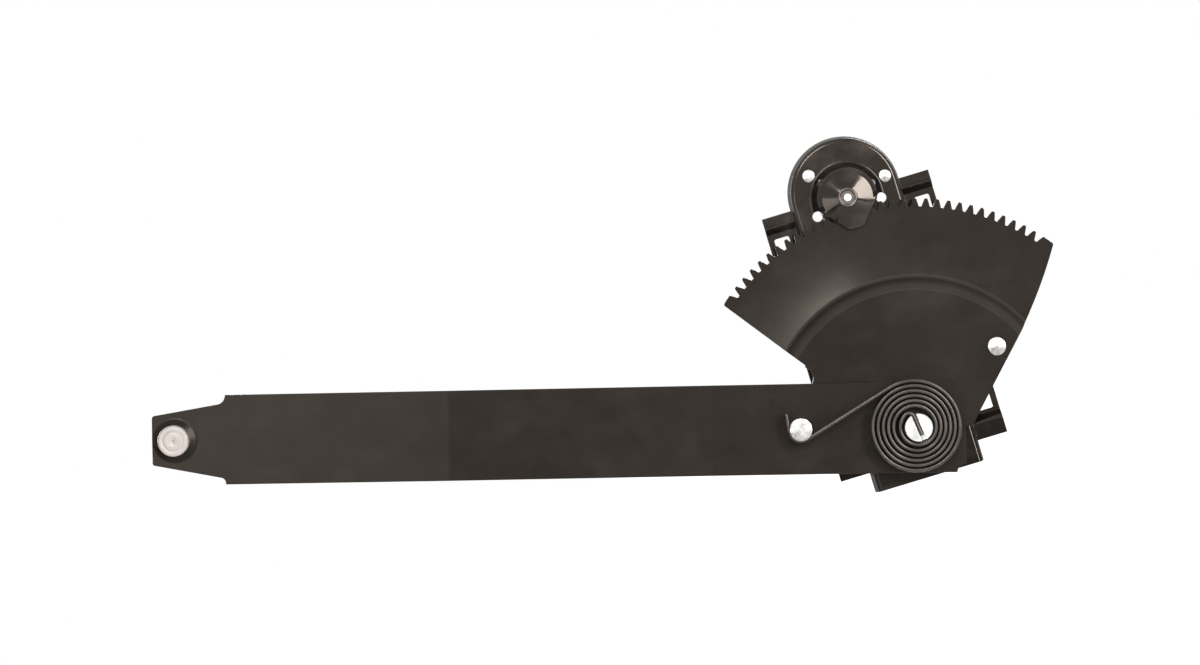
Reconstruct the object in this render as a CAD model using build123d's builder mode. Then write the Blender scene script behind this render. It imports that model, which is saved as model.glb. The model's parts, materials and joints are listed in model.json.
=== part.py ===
from build123d import *
import math
import os

# Window regulator of the single lift arm kind, for a car or truck door.
#
# A pressed plate bolts to the door's inner panel. A crank spindle turns a small pinion through a spring brake. The
# pinion drives a toothed sector, the sector carries the lift arm, and the arm's roller runs in the channel under the
# glass. A flat spiral spring, held in the slot of the pivot stud, carries most of the weight of the glass.
#
# Frame: the origin is the centre of the four square mounting holes, on the plane of the door's panel. +X is across the
# plate, +Z runs up it from the pivot to the pinion, +Y points into the car and -Y to the glass. All sizes are in
# millimetres. A "depth" is a distance from the mounting plane towards the glass, so the crank side has depths below 0.

# ---- Gear pair -------------------------------------------------------------------------------------------------
MODULE = 2.1167  # 12 teeth to an inch of pitch diameter
PRESSURE_ANGLE = 20.0
SECTOR_TEETH = 125  # teeth that a full circle of this sector would have
PINION_TEETH = 8
SECTOR_GAPS = 31  # tooth spaces cut in the sector
MESH_GAP = 17  # the space that is nearest to the pinion at rest, counted from the sector's right-hand end
MESH_LAG = -0.48  # degrees by which that space is past the line of centres at rest
BACKLASH = 0.30
ADDENDUM = 1.0 * MODULE
DEDENDUM = 1.25 * MODULE
TOOTH_TIP_ROUND = 0.45
TOOTH_ROOT_ROUND = 0.50
FLANK_POINTS = 6
PINION_RELIEF_RADIUS = 8.3
PINION_ROOT_HALF_WIDTH = 1.3
SECTOR_PITCH_RADIUS = MODULE * SECTOR_TEETH / 2
PINION_PITCH_RADIUS = MODULE * PINION_TEETH / 2
CENTRE_DISTANCE = SECTOR_PITCH_RADIUS + PINION_PITCH_RADIUS
SECTOR_TIP_RADIUS = SECTOR_PITCH_RADIUS + ADDENDUM
SECTOR_ROOT_RADIUS = SECTOR_PITCH_RADIUS - DEDENDUM
PINION_TIP_RADIUS = PINION_PITCH_RADIUS + ADDENDUM
PINION_ROOT_RADIUS = PINION_PITCH_RADIUS - DEDENDUM

# ---- Fits ------------------------------------------------------------------------------------------------------
RUNNING = 0.05  # radial clearance of a shaft in its bearing
END_PLAY = 0.10  # axial clearance between pieces that turn on each other
FREE = 0.30  # clearance between pieces that pass each other

# ---- Plate -----------------------------------------------------------------------------------------------------
SHEET = 2.0
HOLE_SPACING_X = 86.4
HOLE_SPACING_Z = 122.9
HOLE_SIDE = 9.0  # square holes for square-necked bolts
HOLE_CORNER = 1.2
PIVOT_DROP = 63.6  # the pivot lies this far below the centre of the mounting holes
PIVOT_Z = -PIVOT_DROP
PINION_Z = PIVOT_Z + CENTRE_DISTANCE
WING_HALF_WIDTH = 51.3
WING_TOP = 79.5
WING_BOTTOM = -82.2
TOP_STRIP = 6.0  # stiffened strip along each end of the wings
BOTTOM_STRIP = 10.0
STRIP_RISE = 2.5
STRIP_RUN = 3.6
STRIP_BEND = 3.0
CHANNEL_DEPTH = 12.0
CHANNEL_HALF_WIDTH = 33.5
CHANNEL_BOTTOM = -94.2
CHANNEL_DRAFT = 8.0
CHANNEL_BEND = 2.6
CHANNEL_ROUND_RISE = 3.5  # the channel's round head is centred this far above the pinion
FLOOR_REAR = CHANNEL_DEPTH - SHEET

# ---- Bridge: the dome that is drawn and lanced out of the channel's floor over the pinion ----------------------
BRIDGE_FOOT_RADIUS = 21.0
BRIDGE_SHOULDER_RADIUS = 17.0
BRIDGE_SHOULDER_DEPTH = 20.0
BRIDGE_TOP_DEPTH = 21.7
BRIDGE_BEND = 4.0
BRIDGE_FOOT_BEND = 1.6
BRIDGE_APRON = 4.0  # ring of flat floor that belongs to the bridge's drawing
RELIEF_RADIUS = 3.0
RELIEF_X = 19.6
RELIEF_DROP = 5.6
TONGUE_ROOT_HALF_WIDTH = 17.0
TONGUE_ROOT_DROP = 4.0
TONGUE_TIP_HALF_WIDTH = 4.2
TONGUE_TIP_DROP = 18.8
TONGUE_TIP_ROUND = 3.0

# ---- Eyelet, brake drum and crank ------------------------------------------------------------------------------
EYELET_RADIUS = 5.0
EYELET_FLANGE_RADIUS = 5.9
EYELET_FLANGE = 0.8
JOURNAL_RADIUS = 3.85  # the pinion's front journal
PILOT_RADIUS = 2.6  # the spindle's front end
RIVET_CIRCLE = 25.9
RIVET_ANGLES = (13.5, 133.5, 253.5)
RIVET_SHANK = 2.2
RIVET_HEAD_RADIUS = 3.9
RIVET_HEAD_HEIGHT = 1.5
RIVET_TAIL_RADIUS = 3.3
RIVET_EDGE = 0.5
DRUM_WALL = 1.6
DRUM_RADIUS = 17.0
DRUM_BORE = DRUM_RADIUS - DRUM_WALL
DRUM_END = -9.0
DRUM_EAR_RADIUS = 3.9
DRUM_FLANGE_RADIUS = 23.0
FLANGE_NOTCH = 3.6  # the drum's flange is notched behind the bridge's relief holes
EAR_ROOT = 6.0  # how much wider each ear is at the drum's axis
DRUM_EDGE = 1.2
COLLAR_END = -15.0
COLLAR_BORE = 7.4
BUSH_WALL = 1.4
SPINDLE_RADIUS = COLLAR_BORE - BUSH_WALL - RUNNING
BUSH_FLANGE_RADIUS = 9.6
BUSH_FLANGE = 1.0
BRAKE_WIRE = 1.6
BRAKE_PITCH = 1.65
BRAKE_OUTER = DRUM_BORE - FREE
DOG_OUTER = BRAKE_OUTER - BRAKE_WIRE - FREE
DOG_INNER = 8.6
DOG_SPAN = 60.0  # degrees of the pinion's dog
DOG_GAP = 42.0  # degrees left on each side of it for the brake spring's ends
PINION_FACE_REAR = 13.2
PINION_FACE_FRONT = 17.8
PINION_HUB_RADIUS = 7.4
DRIVEN_FRONT = 9.4
DRIVEN_REAR = 7.7
DRIVEN_RADIUS = 12.6
DRIVER_THICKNESS = 2.4
FINGER_SPAN = 40.0  # degrees of each of the driver's fingers
THRUST_WASHER = 1.2
THRUST_WASHER_RADIUS = 12.0
SPLINE_RADIUS = 5.55
SPLINE_ROOT = 4.95
SPLINE_TEETH = 24
SPLINE_START = -19.0
SPINDLE_END = -37.0
SPINDLE_EDGE = 0.4
PINION_JOURNAL_END = 22.2
DOG_ANGLE = 219.0  # direction of the pinion's dog, opposite which the brake spring's ends stand open
CLIP_GROOVE_RADIUS = 4.5
CLIP_GROOVE_DEPTH = -31.0
CLIP_GROOVE_WIDTH = 1.6
SPINDLE_WASHER_RADIUS = 9.0
SPINDLE_RING_RADIUS = 8.0
SPINDLE_RING_GROOVE = 5.2
RING_THICKNESS = 1.0
RING_PLAY = 0.05
RING_GAP = 60.0  # degrees of the opening in a retaining ring

# ---- Pivot -----------------------------------------------------------------------------------------------------
POST_RADIUS = 8.2
POST_SHANK = 6.4
POST_SHOULDER_RADIUS = 12.5
POST_TAIL_RADIUS = 9.0
POST_TAIL = 1.8
POST_END = 35.6
POST_EDGE = 0.4
SLOT_WIDTH = 2.8
BUSH_OUTER = 9.7
BUSH_COLLAR = 13.0
BUSH_COLLAR_THICKNESS = 1.4
PIVOT_WASHER_RADIUS = 12.5
PIVOT_RING_RADIUS = 10.2
PIVOT_RING_GROOVE = 7.5

# ---- Sector ----------------------------------------------------------------------------------------------------
SECTOR_SHEET = 3.0
SECTOR_DEPTH = 14.0  # rear face of the toothed band
SECTOR_RISE = 3.0  # the middle of the sector is pressed this far towards the glass
SECTOR_RISE_RADIUS = 85.2
SECTOR_RISE_RUN = 3.2
SECTOR_BEND = 4.0
RIGHT_END_ANGLE = 36.4  # the sector's two toothed corners, in degrees about the pivot
LEFT_END_ANGLE = 130.9
SECTOR_CORNER_ROUND = 1.5
RIGHT_KNEE = (76.5, 37.8)  # from the pivot
RIGHT_WAIST = (90.9, 55.0)
RIGHT_FOOT = (31.2, -8.8)
SECTOR_LOBE_RADIUS = 26.0
LEFT_KNEE = (-52.3, 53.7)
LEFT_NOTCH = (-56.4, 47.0)
LEFT_NOTCH_RADIUS = 6.6
STUD_LOBE_RADIUS = 17.0

# ---- Lift arm --------------------------------------------------------------------------------------------------
ARM_ANGLE = 164.13  # direction from the pivot to the roller at rest, in degrees
ROLLER_REACH = 433.9
ARM_SHEET = 3.0
ARM_HALF_WIDTH = 26.7
ARM_TIP_HALF_WIDTH = 26.1
ARM_HEEL = -28.3
TIP_LENGTH = 29.3  # from the arm's shoulders to the roller
TIP_BEYOND = 13.3  # from the roller to the arm's end
ARM_SHOULDER = ROLLER_REACH - TIP_LENGTH
ARM_TIP = ROLLER_REACH + TIP_BEYOND
ARM_NECK_UPPER = 21.3
ARM_NECK_LOWER = 22.7
ARM_TIP_END = 14.3
ARM_TIP_ROUND = 1.6
ARM_BITE = 5.2  # radius of the bites out of the heel's corners
UPPER_SHOULDER_ROUND = 5.2
LOWER_SHOULDER_ROUND = 3.2
BEND_NEAR = 119.0  # the two bends that carry the arm's end towards the glass
BEND_FAR = 274.0
ARM_OFFSET = 14.0
ARM_BEND = 25.0
BOSS_RADIUS = 13.0
BOSS_TOP_RADIUS = 8.0
BOSS_RISE = 2.2
BOSS_BEND = 1.5

# ---- Studs and roller ------------------------------------------------------------------------------------------
SPRING_STUD_REACH = 68.9
SPRING_STUD_SHANK = 5.4
SPRING_STUD_TENON = 4.2
SPRING_STUD_HEAD = 6.8
SPRING_STUD_HEAD_HEIGHT = 1.9
STOP_STUD = (58.5, 31.9)
STOP_STUD_HEAD = 5.5
STOP_STUD_HEAD_HEIGHT = 2.0
STOP_STUD_TENON = 3.2
RIVET_UPSET = 1.4  # height of an upset tail behind a sheet
ROLLER_RADIUS = 9.0
ROLLER_WIDTH = 10.0
ROLLER_FACE = 2.0
ROLLER_EDGE = 1.2
ROLLER_BORE = 4.1
ROLLER_NOSE_RADIUS = 5.5
ROLLER_NOSE = 0.5
ROLLER_CHAMBER = 5.1
STUD_HEAD_LENGTH = 2.4
STUD_TENON = 3.4
STUD_TAIL_RADIUS = 5.4
ROLLER_WASHER_RADIUS = 7.6
ROLLER_WASHER = 0.9

# ---- Counterbalance spring: a flat strip wound on edge ---------------------------------------------------------
STRIP_THICKNESS = 2.2
STRIP_WIDTH = 9.4
COIL_PITCH = 2.9
COIL_PITCH_SHIFT = 0.12  # distance that the coils' centre moves towards the spring stud with each turn
COIL_START = 0.44  # extra room between the innermost coil and the next one
COIL_CENTRE = (-0.2, 0.55)  # of the innermost coil, from the pivot
GROWTH_ANGLE = -17.0  # the coils' radius steps up on the line through the pivot at this angle
HALF_TURNS = 10  # between the innermost coil and the arc that runs out into the leg
HOOK_RADIUS = 3.4  # the bend from the innermost coil into the slot
HOOK_REACH = 6.9
SLOT_ANGLE = 96.2  # direction of the stud's slot, in degrees
INNER_LEG = 11.8
TAIL_LENGTH = 10.5
TAIL_TURN = 112.0  # degrees that the outer end wraps round its stud

# ---- Worked out from the above ---------------------------------------------------------------------------------
TOOTH_PITCH = 360 / SECTOR_TEETH
GEAR_RATIO = SECTOR_TEETH / PINION_TEETH
PINION_TURN = -MESH_LAG * GEAR_RATIO
SECTOR_MID = SECTOR_DEPTH + SECTOR_RISE  # rear face of the sector's raised middle
ARM_DEPTH = SECTOR_MID + SECTOR_SHEET
ARM_FRONT = ARM_DEPTH + ARM_SHEET
TIP_DEPTH = ARM_DEPTH + ARM_OFFSET
TIP_FRONT = TIP_DEPTH + ARM_SHEET
BOSS_FRONT = TIP_FRONT + BOSS_RISE
SHOULDER_DEPTH = SECTOR_MID - BUSH_COLLAR_THICKNESS - END_PLAY
WASHER_REAR = ARM_FRONT + END_PLAY
RING_REAR = WASHER_REAR + RING_THICKNESS + END_PLAY
STRIP_REAR = RING_REAR + RING_THICKNESS + FREE
STRIP_FRONT = STRIP_REAR + STRIP_WIDTH
STUD_SHOULDER = STRIP_FRONT + FREE
ROLLER_REAR = BOSS_FRONT + ROLLER_WASHER + END_PLAY
ROLLER_FRONT = ROLLER_REAR + ROLLER_WIDTH
ROLLER_X = ROLLER_REACH * math.cos(math.radians(ARM_ANGLE))
ROLLER_Z = PIVOT_Z + ROLLER_REACH * math.sin(math.radians(ARM_ANGLE))
SPRING_STUD_X = SPRING_STUD_REACH * math.cos(math.radians(ARM_ANGLE))
SPRING_STUD_Z = PIVOT_Z + SPRING_STUD_REACH * math.sin(math.radians(ARM_ANGLE))
THRUST_REAR = DRUM_END + DRUM_WALL + BUSH_FLANGE + END_PLAY
DRIVER_REAR = THRUST_REAR + THRUST_WASHER + END_PLAY
DRIVER_FRONT = DRIVER_REAR + DRIVER_THICKNESS
DRUM_FLANGE_REAR = FLOOR_REAR - DRUM_WALL
SPINDLE_WASHER_FRONT = COLLAR_END - END_PLAY
SPINDLE_RING_FRONT = SPINDLE_WASHER_FRONT - RING_THICKNESS - END_PLAY


def polar(radius, angle):
    """Point at a radius and an angle in degrees."""
    return (radius * math.cos(math.radians(angle)), radius * math.sin(math.radians(angle)))


def facing(depth, x=0.0, z=0.0, turn=0.0):
    """Plane parallel to the plate at a depth: local x is +X turned by turn, local y is up, and it grows to -Y."""
    across = (math.cos(math.radians(turn)), 0, math.sin(math.radians(turn)))
    return Plane(origin=(x, -depth, z), x_dir=across, z_dir=(0, -1, 0))


def section(x, z, turn=0.0):
    """Plane through an axis along Y: local x is the distance from the axis, local y is the depth."""
    across = (math.cos(math.radians(turn)), 0, math.sin(math.radians(turn)))
    return Plane(origin=(x, 0, z), x_dir=across, z_dir=(across[2], 0, -across[0]))


def lathe(x, z, *profile, mode=Mode.ADD):
    """Turns a closed profile of (radius, depth) points about the axis along Y at x, z."""
    with BuildSketch(section(x, z)) as turned:
        with BuildLine():
            Polyline(*profile, close=True)
        make_face()
    revolve(turned.sketch.faces(), axis=Axis((x, 0, z), (0, 1, 0)), mode=mode)


def tube(inner, outer, rear, front):
    """Profile of a plain ring between two depths."""
    return ((inner, rear), (outer, rear), (outer, front), (inner, front))


def save(piece, name):
    """Labels a finished piece and writes it as its own file."""
    piece.label = name
    export_step(piece, f"parts/{name}.step")


os.makedirs("parts", exist_ok=True)


# ---- Base plate ------------------------------------------------------------------------------------------------
def channel_outline(half_width, bottom):
    """The channel's outline: straight sides with a round head over the pinion."""
    head = PINION_Z + CHANNEL_ROUND_RISE
    with BuildSketch() as outline:
        with BuildLine():
            Line((-half_width, head), (-half_width, bottom))
            Line((-half_width, bottom), (half_width, bottom))
            Line((half_width, bottom), (half_width, head))
            CenterArc((0, head), half_width, 0, 180)
        make_face()
    return outline.sketch


def tongue_outline():
    """Outline of the tongue that is lanced out of the floor, from the pinion's centre."""
    with BuildSketch() as outline:
        with BuildLine():
            Polyline(
                (-TONGUE_ROOT_HALF_WIDTH, -TONGUE_ROOT_DROP),
                (-TONGUE_TIP_HALF_WIDTH, -TONGUE_TIP_DROP),
                (TONGUE_TIP_HALF_WIDTH, -TONGUE_TIP_DROP),
                (TONGUE_ROOT_HALF_WIDTH, -TONGUE_ROOT_DROP),
                close=True,
            )
        make_face()
        fillet(outline.vertices().group_by(Axis.Y)[0], TONGUE_TIP_ROUND)
    return outline.sketch


TOP_SLOPE = (BRIDGE_TOP_DEPTH - BRIDGE_SHOULDER_DEPTH) / (BRIDGE_SHOULDER_RADIUS - EYELET_RADIUS)
FAR_BEYOND = 300.0
ON_THE_RIM = 0.01  # a corner this near to the tip circle lies on it
CHANNEL_OVERRUN = 40.0  # the channel is drawn this much too long and then cut off square
HOLLOW_HALF_WIDTH = CHANNEL_HALF_WIDTH - SHEET / math.cos(math.radians(CHANNEL_DRAFT))

with BuildPart() as bridge_dome:
    with BuildSketch(section(0, PINION_Z)):
        with BuildLine():
            FilletPolyline(
                (BRIDGE_FOOT_RADIUS + BRIDGE_APRON, CHANNEL_DEPTH),
                (BRIDGE_FOOT_RADIUS, CHANNEL_DEPTH),
                (BRIDGE_SHOULDER_RADIUS, BRIDGE_SHOULDER_DEPTH),
                (EYELET_RADIUS, BRIDGE_TOP_DEPTH),
                radius=(BRIDGE_FOOT_BEND, BRIDGE_BEND),
            )
            offset(amount=SHEET, side=Side.LEFT)
        make_face()
    revolve(axis=Axis((0, 0, PINION_Z), (0, 1, 0)))
    split(bisect_by=Plane.XY.offset(PINION_Z - RELIEF_DROP), keep=Keep.TOP)

with BuildPart() as bridge_tongue:
    with BuildSketch(section(0, PINION_Z)):
        with BuildLine():
            Line(
                (TONGUE_TIP_DROP + 1, BRIDGE_TOP_DEPTH - TOP_SLOPE * (TONGUE_TIP_DROP + 1 - EYELET_RADIUS)),
                (EYELET_RADIUS, BRIDGE_TOP_DEPTH),
            )
            offset(amount=SHEET, side=Side.LEFT)
        make_face()
    revolve(axis=Axis((0, 0, PINION_Z), (0, 1, 0)))
    with BuildSketch(facing(CHANNEL_DEPTH, z=PINION_Z)):
        add(tongue_outline())
    extrude(amount=CHANNEL_DEPTH, mode=Mode.INTERSECT)

with BuildPart() as channel_hollow:
    with BuildSketch(facing(0)):
        add(channel_outline(HOLLOW_HALF_WIDTH, CHANNEL_BOTTOM - CHANNEL_OVERRUN))
    extrude(amount=FLOOR_REAR, taper=CHANNEL_DRAFT)
    fillet(channel_hollow.faces().sort_by(Axis.Y)[0].edges(), CHANNEL_BEND - SHEET)

with BuildPart() as base_plate:
    with BuildSketch(facing(0)):
        add(channel_outline(CHANNEL_HALF_WIDTH, CHANNEL_BOTTOM - CHANNEL_OVERRUN))
    extrude(amount=CHANNEL_DEPTH, taper=CHANNEL_DRAFT)
    fillet(base_plate.faces().sort_by(Axis.Y)[0].edges(), CHANNEL_BEND)
    split(bisect_by=Plane.XY.offset(CHANNEL_BOTTOM), keep=Keep.TOP)
    with BuildSketch(Plane.YZ.offset(-WING_HALF_WIDTH)):
        with BuildLine():
            FilletPolyline(
                (-STRIP_RISE, WING_BOTTOM),
                (-STRIP_RISE, WING_BOTTOM + BOTTOM_STRIP),
                (0, WING_BOTTOM + BOTTOM_STRIP + STRIP_RUN),
                (0, WING_TOP - TOP_STRIP - STRIP_RUN),
                (-STRIP_RISE, WING_TOP - TOP_STRIP),
                (-STRIP_RISE, WING_TOP),
                radius=STRIP_BEND,
            )
            offset(amount=SHEET, side=Side.LEFT)
        make_face()
    extrude(amount=2 * WING_HALF_WIDTH)
    add(channel_hollow.part, mode=Mode.SUBTRACT)
    # the floor's opening under the bridge, with its relief holes
    with BuildSketch(facing(FLOOR_REAR - 1, z=PINION_Z)):
        Circle(BRIDGE_FOOT_RADIUS + BRIDGE_APRON)
        with Locations((0, -RELIEF_DROP)):
            Rectangle(FAR_BEYOND, FAR_BEYOND, align=(Align.CENTER, Align.MAX), mode=Mode.SUBTRACT)
        add(tongue_outline())
        with Locations((-RELIEF_X, -RELIEF_DROP), (RELIEF_X, -RELIEF_DROP)):
            Circle(RELIEF_RADIUS)
    extrude(amount=SHEET + 2, mode=Mode.SUBTRACT)
    add(bridge_dome.part)
    add(bridge_tongue.part)
    with BuildSketch(facing(FLOOR_REAR - 1, z=PINION_Z)):
        with Locations((-RELIEF_X, -RELIEF_DROP), (RELIEF_X, -RELIEF_DROP)):
            Circle(RELIEF_RADIUS)
        for rivet_angle in RIVET_ANGLES:
            with Locations(polar(RIVET_CIRCLE, rivet_angle)):
                Circle(RIVET_SHANK)
        Circle(EYELET_RADIUS)
    extrude(amount=BRIDGE_TOP_DEPTH, mode=Mode.SUBTRACT)
    with BuildSketch(facing(FLOOR_REAR - 1, z=PIVOT_Z)):
        Circle(POST_SHANK)
    extrude(amount=SHEET + 2, mode=Mode.SUBTRACT)
    with BuildSketch(facing(-1)):
        with GridLocations(HOLE_SPACING_X, HOLE_SPACING_Z, 2, 2):
            RectangleRounded(HOLE_SIDE, HOLE_SIDE, HOLE_CORNER)
    extrude(amount=SHEET + 2, mode=Mode.SUBTRACT)
save(base_plate.part, "base_plate")


# ---- Drum rivets: low heads under the sector, upset behind the drum's flange ------------------------------------
with BuildPart() as drum_rivets:
    for rivet_angle in RIVET_ANGLES:
        rivet_x, rivet_z = polar(RIVET_CIRCLE, rivet_angle)
        lathe(
            rivet_x,
            PINION_Z + rivet_z,
            (0, DRUM_FLANGE_REAR - RIVET_UPSET),
            (RIVET_TAIL_RADIUS - RIVET_EDGE, DRUM_FLANGE_REAR - RIVET_UPSET),
            (RIVET_TAIL_RADIUS, DRUM_FLANGE_REAR),
            (RIVET_SHANK, DRUM_FLANGE_REAR),
            (RIVET_SHANK, CHANNEL_DEPTH),
            (RIVET_HEAD_RADIUS, CHANNEL_DEPTH),
            (RIVET_HEAD_RADIUS, CHANNEL_DEPTH + RIVET_HEAD_HEIGHT - RIVET_EDGE),
            (RIVET_HEAD_RADIUS - RIVET_EDGE, CHANNEL_DEPTH + RIVET_HEAD_HEIGHT),
            (0, CHANNEL_DEPTH + RIVET_HEAD_HEIGHT),
        )
save(drum_rivets.part, "drum_rivets")


# ---- Eyelet rolled into the bridge: the pinion's front bearing --------------------------------------------------
with BuildPart() as bridge_eyelet:
    lathe(
        0,
        PINION_Z,
        (JOURNAL_RADIUS + RUNNING, PINION_FACE_FRONT + FREE),
        (EYELET_RADIUS, PINION_FACE_FRONT + FREE),
        (EYELET_RADIUS, BRIDGE_TOP_DEPTH),
        (EYELET_FLANGE_RADIUS, BRIDGE_TOP_DEPTH),
        (EYELET_FLANGE_RADIUS, BRIDGE_TOP_DEPTH + EYELET_FLANGE / 2),
        (EYELET_FLANGE_RADIUS - EYELET_FLANGE / 2, BRIDGE_TOP_DEPTH + EYELET_FLANGE),
        (JOURNAL_RADIUS + RUNNING, BRIDGE_TOP_DEPTH + EYELET_FLANGE),
    )
save(bridge_eyelet.part, "bridge_eyelet")


# ---- Brake drum: flange with three ears, cup and collar --------------------------------------------------------
with BuildPart() as brake_drum:
    with BuildSketch(facing(DRUM_FLANGE_REAR, z=PINION_Z)):
        Circle(DRUM_FLANGE_RADIUS)
        for rivet_angle in RIVET_ANGLES:
            with BuildSketch(mode=Mode.ADD) as ear:
                Circle(DRUM_EAR_RADIUS + EAR_ROOT)
                with Locations(polar(RIVET_CIRCLE, rivet_angle)):
                    Circle(DRUM_EAR_RADIUS)
                make_hull()
        with Locations((-RELIEF_X, -RELIEF_DROP), (RELIEF_X, -RELIEF_DROP)):
            Circle(FLANGE_NOTCH, mode=Mode.SUBTRACT)
    extrude(amount=DRUM_WALL)
    lathe(
        0,
        PINION_Z,
        (DRUM_BORE, FLOOR_REAR),
        (DRUM_RADIUS, FLOOR_REAR),
        (DRUM_RADIUS, DRUM_END + DRUM_EDGE),
        (DRUM_RADIUS - DRUM_EDGE, DRUM_END),
        (COLLAR_BORE + DRUM_WALL, DRUM_END),
        (COLLAR_BORE + DRUM_WALL, COLLAR_END),
        (COLLAR_BORE, COLLAR_END),
        (COLLAR_BORE, DRUM_END + DRUM_WALL),
        (DRUM_BORE, DRUM_END + DRUM_WALL),
    )
    lathe(0, PINION_Z, *tube(0, DRUM_BORE, DRUM_END + DRUM_WALL, CHANNEL_DEPTH), mode=Mode.SUBTRACT)
    with BuildSketch(facing(DRUM_END, z=PINION_Z)):
        for rivet_angle in RIVET_ANGLES:
            with Locations(polar(RIVET_CIRCLE, rivet_angle)):
                Circle(RIVET_SHANK)
    extrude(amount=CHANNEL_DEPTH - DRUM_END, mode=Mode.SUBTRACT)
save(brake_drum.part, "brake_drum")

with BuildPart() as drum_bush:
    lathe(
        0,
        PINION_Z,
        (SPINDLE_RADIUS + RUNNING, COLLAR_END),
        (COLLAR_BORE, COLLAR_END),
        (COLLAR_BORE, DRUM_END + DRUM_WALL),
        (BUSH_FLANGE_RADIUS, DRUM_END + DRUM_WALL),
        (BUSH_FLANGE_RADIUS, DRUM_END + DRUM_WALL + BUSH_FLANGE),
        (SPINDLE_RADIUS + RUNNING, DRUM_END + DRUM_WALL + BUSH_FLANGE),
    )
save(drum_bush.part, "drum_bush")


# ---- Pivot stud and what it carries ----------------------------------------------------------------------------
with BuildPart() as pivot_stud:
    lathe(
        0,
        PIVOT_Z,
        (0, FLOOR_REAR - POST_TAIL),
        (POST_TAIL_RADIUS - POST_EDGE, FLOOR_REAR - POST_TAIL),
        (POST_TAIL_RADIUS, FLOOR_REAR - POST_TAIL + POST_EDGE),
        (POST_TAIL_RADIUS, FLOOR_REAR),
        (POST_SHANK, FLOOR_REAR),
        (POST_SHANK, CHANNEL_DEPTH),
        (POST_SHOULDER_RADIUS, CHANNEL_DEPTH),
        (POST_SHOULDER_RADIUS, SHOULDER_DEPTH),
        (POST_RADIUS, SHOULDER_DEPTH),
        (POST_RADIUS, RING_REAR - RING_PLAY),
        (PIVOT_RING_GROOVE, RING_REAR - RING_PLAY),
        (PIVOT_RING_GROOVE, RING_REAR + RING_THICKNESS + RING_PLAY),
        (POST_RADIUS, RING_REAR + RING_THICKNESS + RING_PLAY),
        (POST_RADIUS, POST_END - POST_EDGE),
        (POST_RADIUS - POST_EDGE, POST_END),
        (0, POST_END),
    )
    with BuildSketch(facing(STRIP_REAR - FREE / 2, z=PIVOT_Z, turn=SLOT_ANGLE)):
        Rectangle(FAR_BEYOND, SLOT_WIDTH)
    extrude(amount=POST_END, mode=Mode.SUBTRACT)
save(pivot_stud.part, "pivot_stud")

with BuildPart() as pivot_washer:
    lathe(0, PIVOT_Z, *tube(POST_RADIUS + RUNNING, PIVOT_WASHER_RADIUS, WASHER_REAR, WASHER_REAR + RING_THICKNESS))
save(pivot_washer.part, "pivot_washer")


def retaining_ring(z, groove, outer, rear, opening):
    """Open ring that springs into a groove; its gap faces the angle opening."""
    lathe(0, z, *tube(groove + RUNNING, outer, rear, rear + RING_THICKNESS))
    with BuildSketch(facing(rear - 1, z=z, turn=opening)) as gap:
        with BuildLine():
            Polyline((0, 0), polar(2 * outer, -RING_GAP / 2), polar(2 * outer, RING_GAP / 2), close=True)
        make_face()
    extrude(gap.sketch.faces(), amount=RING_THICKNESS + 2, mode=Mode.SUBTRACT)


with BuildPart() as pivot_ring:
    retaining_ring(PIVOT_Z, PIVOT_RING_GROOVE, PIVOT_RING_RADIUS, RING_REAR, -90)
save(pivot_ring.part, "pivot_ring")

with BuildPart() as pivot_bush:
    lathe(
        0,
        PIVOT_Z,
        (POST_RADIUS + RUNNING, SECTOR_MID - BUSH_COLLAR_THICKNESS),
        (BUSH_COLLAR, SECTOR_MID - BUSH_COLLAR_THICKNESS),
        (BUSH_COLLAR, SECTOR_MID),
        (BUSH_OUTER, SECTOR_MID),
        (BUSH_OUTER, ARM_FRONT),
        (POST_RADIUS + RUNNING, ARM_FRONT),
    )
save(pivot_bush.part, "pivot_bush")


# ---- Gear teeth -------------------------------------------------------------------------------------------------
def involute(base, angle):
    """Point of the involute of a base circle, unrolled by an angle in radians from the +X axis."""
    return (
        base * (math.cos(angle) + angle * math.sin(angle)),
        base * (math.sin(angle) - angle * math.cos(angle)),
    )


def flank(pitch_radius, inner, outer):
    """Points of one involute flank between two radii, turned so that it crosses the pitch circle at angle 0."""
    base = pitch_radius * math.cos(math.radians(PRESSURE_ANGLE))
    at_pitch = math.tan(math.radians(PRESSURE_ANGLE))
    lag = math.degrees(at_pitch) - PRESSURE_ANGLE
    first = math.sqrt(max(inner / base, 1) ** 2 - 1)
    last = math.sqrt((outer / base) ** 2 - 1)
    points = []
    for step in range(FLANK_POINTS):
        unrolled = first + (last - first) * step / (FLANK_POINTS - 1)
        points.append(Vector(*involute(base, unrolled)).rotate(Axis.Z, -lag))
    return points


def sector_gap():
    """One tooth space of the sector, lying along +X from the pivot."""
    half = math.degrees((math.pi * MODULE / 2 + BACKLASH / 2) / 2 / SECTOR_PITCH_RADIUS)
    points = flank(SECTOR_PITCH_RADIUS, SECTOR_ROOT_RADIUS, SECTOR_TIP_RADIUS + 1)
    upper = [point.rotate(Axis.Z, half) for point in points]
    lower = [Vector(point.X, -point.Y) for point in upper]
    with BuildSketch() as gap:
        with BuildLine():
            Spline(*upper)
            Line(upper[-1], lower[-1])
            Spline(*lower)
            Line(lower[0], upper[0])
        make_face()
        fillet(gap.vertices().group_by(Axis.X)[0], TOOTH_ROOT_ROUND)
    return gap.sketch


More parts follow.
